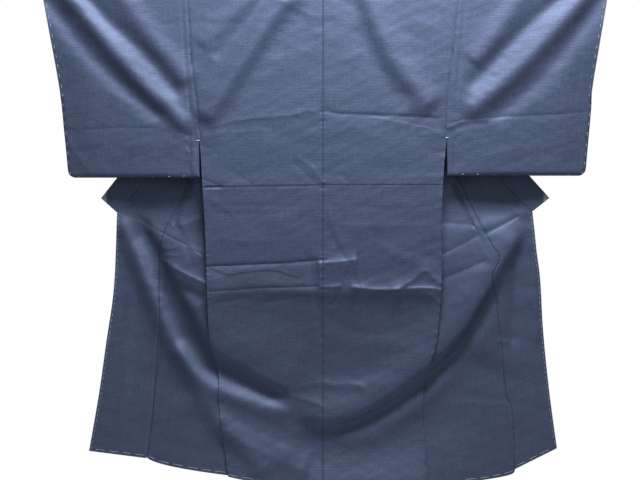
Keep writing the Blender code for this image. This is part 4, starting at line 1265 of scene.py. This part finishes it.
def sleeve_grid(side):
    """The sleeve: both walls over the rod, sewn shut at the bottom, the lower cuff and the ningyo."""
    columns = [(0.0, edge) for edge in EDGE_COLUMNS]
    shares = graded(SLEEVE_FINE_COLUMNS, SLEEVE_COLUMNS, SLEEVE_FINE_SHARE)
    columns += [(share, 0.0) for share in shares if EDGE_SHARE < share < 1 - EDGE_SHARE]
    columns += [(1.0, -edge) for edge in reversed(EDGE_COLUMNS)]
    heights = [-step for step in spaced(SLEEVE_ROWS)]
    heights += [side.sleeve_bottom + edge for edge in reversed(EDGE_COLUMNS)]
    outs = sleeve_outs(side, 0.0, columns)[2]
    over = [on_rod(outs, level, -1) for level in LEVELS[:DRAPE_ROWS]]
    walls = [sleeve_walls(side, z, columns) for z in heights]
    front = over + [wall[0] for wall in walls]
    back = [wall[1] for wall in reversed(walls)] + [row * np.array([1, -1, 1]) for row in reversed(over)]
    loop = front + back[1:]
    middle = len(outs) // 2
    fall = path_lengths(np.array([row[middle] for row in loop]))
    rows = np.array([signed(row, side.sign) for row in loop])
    places = np.array([np.stack([row[:, 0], np.full(len(row), -drop)], 1) for row, drop in zip(loop, fall)])
    return rows, places, len(front)


# The collar

def collar_section():
    """Shares of width and of half thickness round the folded band, seam edge first."""
    face = np.linspace(0, FLAT_FACE, COLLAR_FACE_POINTS)
    puff = SEAM_PUFF + (1 - SEAM_PUFF) * np.sin(math.pi * np.clip(face * PUFF_REACH, 0, 1))
    turn = np.linspace(math.pi / 2, -math.pi / 2, COLLAR_FOLD_POINTS + 2)[1:-1]
    fold = FLAT_FACE + (1 - FLAT_FACE) * np.cos(turn)
    wide = np.concatenate([face, fold, face[::-1]])
    thick = np.concatenate([puff, puff[-1] * np.sin(turn), -puff[::-1]])
    return wide, thick


def collar_half(side):
    """Rings of half the band, back neck first: points, distance along it, and distance from its tip."""
    wide, thick = collar_section()
    last = side.collar_lengths[-1]
    tip_out, tip_z = SIDES[side.name]["collar_tip"]
    to_tip = np.array([tip_out, COLLAR_NECK[-1][1], tip_z]) - along(side.collar_seam, last)
    rings = []
    reached = np.linspace(0, last - COLLAR_TIP_FROM, COLLAR_RINGS, endpoint=False)
    for distance in np.append(reached, np.linspace(last - COLLAR_TIP_FROM, last, COLLAR_TIP_RINGS)):
        seam, way, normal = side.collar_at(distance)
        ended = max(0.0, (distance - last + TIP_LENGTH) / TIP_LENGTH)
        width = way * COLLAR_WIDTH * (1 - ended) + to_tip * ended
        points = seam + wide[:, None] * width + thick[:, None] * normal * COLLAR_THICK / 2
        points[:, 1] -= COLLAR_SWELL * swell(side.sign * points[:, 0], points[:, 2], "collar")
        rings.append((signed(points, side.sign), side.sign * distance, last - distance))
    return rings


def collar_mesh(left, right):
    """One folded band from tip to tip, round the back of the neck, as a closed tube."""
    wide, thick = collar_section()
    across = wide * COLLAR_WIDTH + np.where(thick < 0, FAR_FACE, 0.0)
    form = bmesh.new()
    flat = form.loops.layers.uv.new("cloth")
    # A mask of painted light: where the white wall's light shows through the single layer of cloth at each
    # tip
    thin = form.verts.layers.float.new("thin")
    rows, places = [], []
    for points, distance, from_end in collar_half(left)[::-1] + collar_half(right)[1:]:
        row = [form.verts.new(point) for point in points]
        for vert, share in zip(row, wide):
            vert[thin] = float(smoothstep(from_end + (1 - share) * COLLAR_WIDTH, *LIGHT_THROUGH_TIP_SPAN))
        rows.append(row)
        places.append([(reach, distance) for reach in across])
    add_faces(form, flat, rows, places, closed=True)
    form.faces.new(rows[0])
    form.faces.new(rows[-1])
    return finished_mesh("collar_band", form, COLLAR_CRISP)


# Threads

def thread_mesh(name, lines):
    """Short round threads with soft ends, one for each line of points and its radius."""
    verts, faces = [], []
    turn = np.linspace(0, 2 * math.pi, THREAD_SIDES, endpoint=False)
    from_middle = np.abs(np.linspace(-1, 1, THREAD_RINGS))
    ends = np.sqrt(np.clip(1 - from_middle ** THREAD_END_TURN, THREAD_END_SIZE, 1))
    for line, radius in lines:
        path = evenly(np.array(line), np.linspace(0, 1, THREAD_RINGS))
        tangent = np.gradient(path, axis=0)
        tangent /= np.linalg.norm(tangent, axis=1)[:, None]
        side = np.cross(tangent, (0.0, 1.0, 0.0))
        side /= np.linalg.norm(side, axis=1)[:, None]
        up = np.cross(side, tangent)
        first = len(verts)
        for point, one, two, size in zip(path, side, up, ends):
            ring = point + radius * size * (np.cos(turn)[:, None] * one + np.sin(turn)[:, None] * two)
            verts += [tuple(corner) for corner in ring]
        for ring in range(THREAD_RINGS - 1):
            for step in range(THREAD_SIDES):
                after = (step + 1) % THREAD_SIDES
                a, b = first + ring * THREAD_SIDES, first + (ring + 1) * THREAD_SIDES
                faces.append((a + step, a + after, b + after, b + step))
        faces.append(tuple(first + step for step in reversed(range(THREAD_SIDES))))
        last = first + (THREAD_RINGS - 1) * THREAD_SIDES
        faces.append(tuple(last + step for step in range(THREAD_SIDES)))
    mesh = bpy.data.meshes.new(name)
    mesh.from_pydata(verts, [], faces)
    mesh.shade_smooth()
    return mesh


def dashes(path, kind):
    """A running stitch along a path of cloth points: long dashes on the face, short gaps behind."""
    dash, gap, _, radius, lift = BASTING[kind]
    length = path_lengths(path)[-1]
    bow = 1 - np.abs(np.linspace(-1, 1, THREAD_RINGS)) ** DASH_BOW
    made = []
    draw = np.random.default_rng(len(path))
    start = gap
    while start + dash < length:
        size = dash * draw.uniform(*DASH_LENGTHS)
        line = along(path, np.linspace(start, start + size, THREAD_RINGS))
        line[:, 1] -= lift * bow + (1 - bow) * WALL * DASH_SUNK
        line[:, 2] += draw.uniform(-DASH_WANDER, DASH_WANDER)
        made.append((line, radius))
        start += size + gap * draw.uniform(*DASH_GAPS)
    return made


def inset_columns(points, kind):
    """The line of cloth as far in from the last column as this basting runs."""
    made = []
    for row in points:
        line = row[::-1]
        made.append(along(line, min(BASTING[kind][2], path_lengths(line)[-1])))
    return np.array(made)


def inset_rows(points, kind):
    """The line of cloth as far up from the last row as this basting runs."""
    return inset_columns(points.transpose(1, 0, 2), kind)


def side_basting(side, back, front, okumi, sleeve):
    """The basting along one side's hem, front edge, sleeve bottom and cuff."""
    open_hem = inset_rows(front[0], "hem")
    open_hem = open_hem[np.abs(open_hem[:, 0]) > side.back_edge(BODY_LENGTH)[0]]
    free_edge = okumi[0][okumi[1][:, 0, 1] > COLLAR_END_DROP + EDGE_BASTING_FROM]
    threads = dashes(inset_rows(okumi[0], "hem"), "hem") + dashes(open_hem, "hem")
    threads += dashes(inset_rows(back[0][::-1], "hem"), "hem")
    threads += dashes(inset_columns(free_edge, "edge"), "edge")
    threads += dashes(inset_rows(sleeve, "sleeve"), "sleeve")
    return threads + dashes(inset_columns(sleeve[:-1], "cuff"), "cuff")


def tack_threads():
    """Short threads across the lower end of each armhole."""
    threads = []
    for sign, out, z in TACKS:
        depth = back_depth(sign * out, z) - WALL / 2 - THREAD_RADIUS
        for number in range(TACK_THREADS):
            height = z + (number - TACK_THREADS / 2) * TACK_SPACING * THREAD_RADIUS
            ends = [(sign * out + way * TACK_LENGTH / 2, depth, height) for way in (-1, 1)]
            threads.append((np.array(ends), THREAD_RADIUS))
    return threads


# Materials

class Value:
    """One output of a shader node, so that shader maths can be written as sums."""

    def __init__(self, finish, socket):
        self.finish = finish
        self.socket = socket

    def math(self, operation, *values):
        return self.finish.node("ShaderNodeMath", {"operation": operation}, dict(enumerate(values)))

    def __add__(self, other):
        return self.math("ADD", self, other)

    def __radd__(self, other):
        return self.math("ADD", other, self)

    def __sub__(self, other):
        return self.math("SUBTRACT", self, other)

    def __rsub__(self, other):
        return self.math("SUBTRACT", other, self)

    def __mul__(self, other):
        return self.math("MULTIPLY", self, other)

    def __rmul__(self, other):
        return self.math("MULTIPLY", other, self)


class Finish:
    """A node tree, of a material or of the room, that is built node by node."""

    def __init__(self, owner, shader):
        self.owner = owner
        owner.use_nodes = True
        self.tree = owner.node_tree
        self.shader = self.tree.nodes[shader]

    def node(self, kind, settings, values, output=0):
        """Adds a node: its settings first, then the values or links of its sockets."""
        made = self.tree.nodes.new(kind)
        for name, value in settings.items():
            setattr(made, name, value)
        for name, value in values.items():
            self.put(made.inputs[name], value)
        return Value(self, made.outputs[output])

    def put(self, socket, value):
        """A link or a constant into a socket."""
        if isinstance(value, Value):
            self.tree.links.new(value.socket, socket)
        elif socket.type == "RGBA":
            socket.default_value = (*value, 1.0)
        else:
            socket.default_value = value

    def set(self, **values):
        """Sockets of the shader, by name with underscores for spaces."""
        for name, value in values.items():
            self.put(self.shader.inputs[name.replace("_", " ")], value)

    def noise(self, place, scale, detail=2.0, roughness=0.5):
        """Noise from 0 to 1, stretched by a scale on each axis."""
        stretched = self.node("ShaderNodeVectorMath", {"operation": "MULTIPLY"}, {0: place, 1: scale})
        return self.node("ShaderNodeTexNoise", {"noise_dimensions": "3D"},
                         {"Vector": stretched, "Scale": 1.0, "Detail": detail, "Roughness": roughness})

    def varied(self, middle_and_span, noise):
        """A value that a noise moves about its middle."""
        middle, span = middle_and_span
        return middle + span * (noise - 0.5)

    def ramp(self, value, low, high):
        """0 at low and 1 at high."""
        return self.node("ShaderNodeMapRange", {"interpolation_type": "SMOOTHSTEP"},
                         {"Value": value, "From Min": low, "From Max": high})

    def mix(self, share, first, second):
        """A colour between two."""
        return self.node("ShaderNodeMix", {"data_type": "RGBA"}, {0: share, 6: first, 7: second}, 2)

    def bump(self, height, distance):
        """A normal from a height given in metres times distance."""
        return self.node("ShaderNodeBump", {}, {"Height": height, "Distance": distance})


def surface(name):
    """A new material with its one shader."""
    return Finish(bpy.data.materials.new(name), "Principled BSDF")


def navy_cloth():
    """Plain-woven navy cloth: uneven weft slubs, fine warp, soft blotches and a dull sheen."""
    finish = surface("navy_cloth")
    place = finish.node("ShaderNodeUVMap", {"uv_map": "cloth"}, {})
    noises = {}
    tone, height = 0.5, 0.0
    for name, (weft, warp, detail, roughness, toned, raised) in WEAVE.items():
        noises[name] = finish.noise(place, (weft, warp, 1.0), detail, roughness)
        if toned:
            tone = tone + toned * (noises[name] - 0.5)
        if raised:
            height = height + raised * noises[name]
    colour = finish.mix(finish.ramp(tone, *TONE_SPAN), NAVY_DARK, NAVY_PALE)
    colour = finish.mix(EVEN_NAVY, colour, NAVY)
    colour = finish.mix(PALE_SLUB_SHARE * finish.ramp(noises["slubs"], *PALE_SLUBS), colour, NAVY_PALE)
    colour = finish.mix(DARK_SLUB_SHARE * finish.ramp(noises["slubs"], *DARK_SLUBS), colour, NAVY_DARK)
    # Painted light at the collar's tips: pale grey where the white wall's light shows through the single
    # layer of cloth
    thin = finish.node("ShaderNodeAttribute", {"attribute_name": "thin"}, {}, "Fac")
    finish.set(Base_Color=finish.mix(thin, colour, LIGHT_THROUGH_TIP_COLOUR), Normal=finish.bump(height, WEAVE_HEIGHT),
               Roughness=finish.varied(CLOTH_ROUGH, noises["yarns"]), IOR=1.6, Specular_IOR_Level=0.95,
               Specular_Tint=SHEEN_TINT)
    return finish.owner


def basting_cotton():
    """Matt white thread with a fine twist."""
    finish = surface("basting_cotton")
    fibres = finish.noise(finish.node("ShaderNodeTexCoord", {}, {}, "Object"), COTTON_FIBRES)
    finish.set(Base_Color=finish.mix(fibres, COTTON, COTTON_PALE), Roughness=0.85)
    return finish.owner


def pale_wood():
    """Turned and lightly varnished wood with its grain along the rod."""
    finish = surface("pale_wood")
    place = finish.node("ShaderNodeTexCoord", {}, {}, "Object")
    bands, pores, streaks = [finish.noise(place, (along_rod, across, across), detail, roughness)
                             for along_rod, across, detail, roughness in GRAIN.values()]
    tone = bands + STREAK_SHARE * (streaks - 0.5)
    colour = finish.mix(finish.ramp(tone, *BAND_SPAN), WOOD_LIGHT, WOOD_DARK)
    colour = finish.mix(PORE_SHARE * finish.ramp(pores, *PORE_SPAN), colour, WOOD_DARK)
    finish.set(Base_Color=colour, Roughness=finish.varied(WOOD_ROUGH, bands),
               Normal=finish.bump(pores, PORE_DEPTH), Coat_Weight=0.15)
    return finish.owner


def pale_floor():
    """A plain matt floor."""
    finish = surface("pale_floor")
    finish.set(Base_Color=PALE_FLOOR, Roughness=0.9)
    return finish.owner


# The rod

def rod_mesh():
    """A round rod along X with softly rounded ends."""
    flat_end = ROD_LENGTH / 2 - ROD_EDGE
    turn = np.linspace(0, math.pi / 2, ROD_EDGE_POINTS)
    end = [(flat_end + ROD_EDGE * math.cos(angle), ROD_RADIUS - ROD_EDGE + ROD_EDGE * math.sin(angle))
           for angle in turn]
    profile = [(ROD_LENGTH / 2, 0.0)] + end
    profile += [(x, ROD_RADIUS) for x in np.linspace(flat_end, -flat_end, ROD_LENGTHS)[1:-1]]
    profile += [(-x, radius) for x, radius in reversed(end)] + [(-ROD_LENGTH / 2, 0.0)]
    form = bmesh.new()
    line = [form.verts.new((x, 0.0, radius)) for x, radius in profile]
    edges = [form.edges.new(pair) for pair in zip(line, line[1:])]
    bmesh.ops.spin(form, geom=line + edges, cent=(0, 0, 0), axis=(1, 0, 0), angle=2 * math.pi,
                   steps=ROD_FACETS)
    bmesh.ops.remove_doubles(form, verts=form.verts, dist=JOINED / 2)
    return finished_mesh("rod_round", form, ROD_CRISP)


# Stage

def make_camera():
    """The photograph's level view of the back."""
    data = bpy.data.cameras.new("view")
    data.sensor_width = SENSOR
    data.lens = SENSOR * (VIEW_DEPTH - EYE[1]) / VIEW_WIDTH
    camera = bpy.data.objects.new("view", data)
    camera.location = EYE
    camera.rotation_euler = (math.pi / 2, 0, 0)
    bpy.context.scene.collection.objects.link(camera)
    bpy.context.scene.camera = camera


def make_lamp():
    """A soft rectangular lamp above and before the garment."""
    data = bpy.data.lights.new("ceiling", "AREA")
    data.shape = "RECTANGLE"
    data.size, data.size_y = LAMP_SIZE
    data.energy = LAMP_POWER
    lamp = bpy.data.objects.new("ceiling", data)
    way = np.array(LAMP_AIM) - np.array(LAMP_PLACE)
    lamp.location = LAMP_PLACE
    tilt = math.acos(-way[2] / np.linalg.norm(way))
    lamp.rotation_euler = (tilt, 0, math.atan2(way[1], way[0]) - math.pi / 2)
    bpy.context.scene.collection.objects.link(lamp)


def make_room():
    """White surroundings, whose own light on the cloth is faint and comes mostly from above."""
    world = bpy.data.worlds.new("room")
    room = Finish(world, "Background")
    way = room.node("ShaderNodeTexCoord", {}, {}, "Generated")
    height = room.node("ShaderNodeSeparateXYZ", {}, {"Vector": way}, "Z")
    fill = room.mix(room.ramp(height, *ROOM_TURN), ROOM_BELOW, ROOM_ABOVE)
    seen = room.node("ShaderNodeLightPath", {}, {}, "Is Camera Ray")
    room.set(Color=room.mix(seen, fill, WHITE), Strength=1.0)
    bpy.context.scene.world = world


def make_stage():
    """A pale floor under the hem, white surroundings and one soft lamp."""
    form = bmesh.new()
    bmesh.ops.create_grid(form, x_segments=1, y_segments=1, size=0.5)
    bmesh.ops.scale(form, verts=form.verts, vec=(*FLOOR_SIZE, 1.0))
    bmesh.ops.translate(form, verts=form.verts, vec=(0, 0, FLOOR_HEIGHT))
    new_object("floor", finished_mesh("floor", form, WALL_CRISP), pale_floor())
    make_room()
    make_lamp()
    bpy.context.scene.view_settings.view_transform = "Standard"


# The whole

def side_pieces(side, cloth, made):
    """Makes one side's body, overlap panel and sleeve, and returns the basting on them."""
    back, front, okumi = back_grid(side), front_grid(side), okumi_grid(side)
    grids = [back, front, okumi_turning(side, front), armhole_turning(side, back, LEVELS[::-1], -1),
             armhole_turning(side, front, LEVELS, 1)]
    if side.sign < 0:
        grids.append(centre_turning(side, back))
    points, places, front_rows = sleeve_grid(side)
    pieces = {"body": grids, "okumi": [okumi, collar_turning(side, okumi)], "sleeve": [(points, places)]}
    for piece, grids in pieces.items():
        name = f"{piece}_{side.name}"
        made[name] = cloth_wall(f"{name}_cloth", grids, cloth)
    return side_basting(side, back, front, okumi, points[DRAPE_ROWS:front_rows])


def main():
    """The stage, the nine pieces, and what stands for what."""
    make_camera()
    make_stage()
    cloth = navy_cloth()
    cotton = basting_cotton()
    sides = [Side("left"), Side("right")]
    made = {}
    threads = []
    for side in sides:
        threads += side_pieces(side, cloth, made)
    made["collar"] = new_object("collar_cloth", collar_mesh(*sides), cloth)
    made["rod"] = new_object("rod_wood", rod_mesh(), pale_wood())
    for node, piece in made.items():
        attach(piece, "root")
        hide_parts(node)
    threads += tack_threads()
    basting = new_object("basting_threads", thread_mesh("basting_threads", threads), cotton)
    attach(basting, "root")


main()
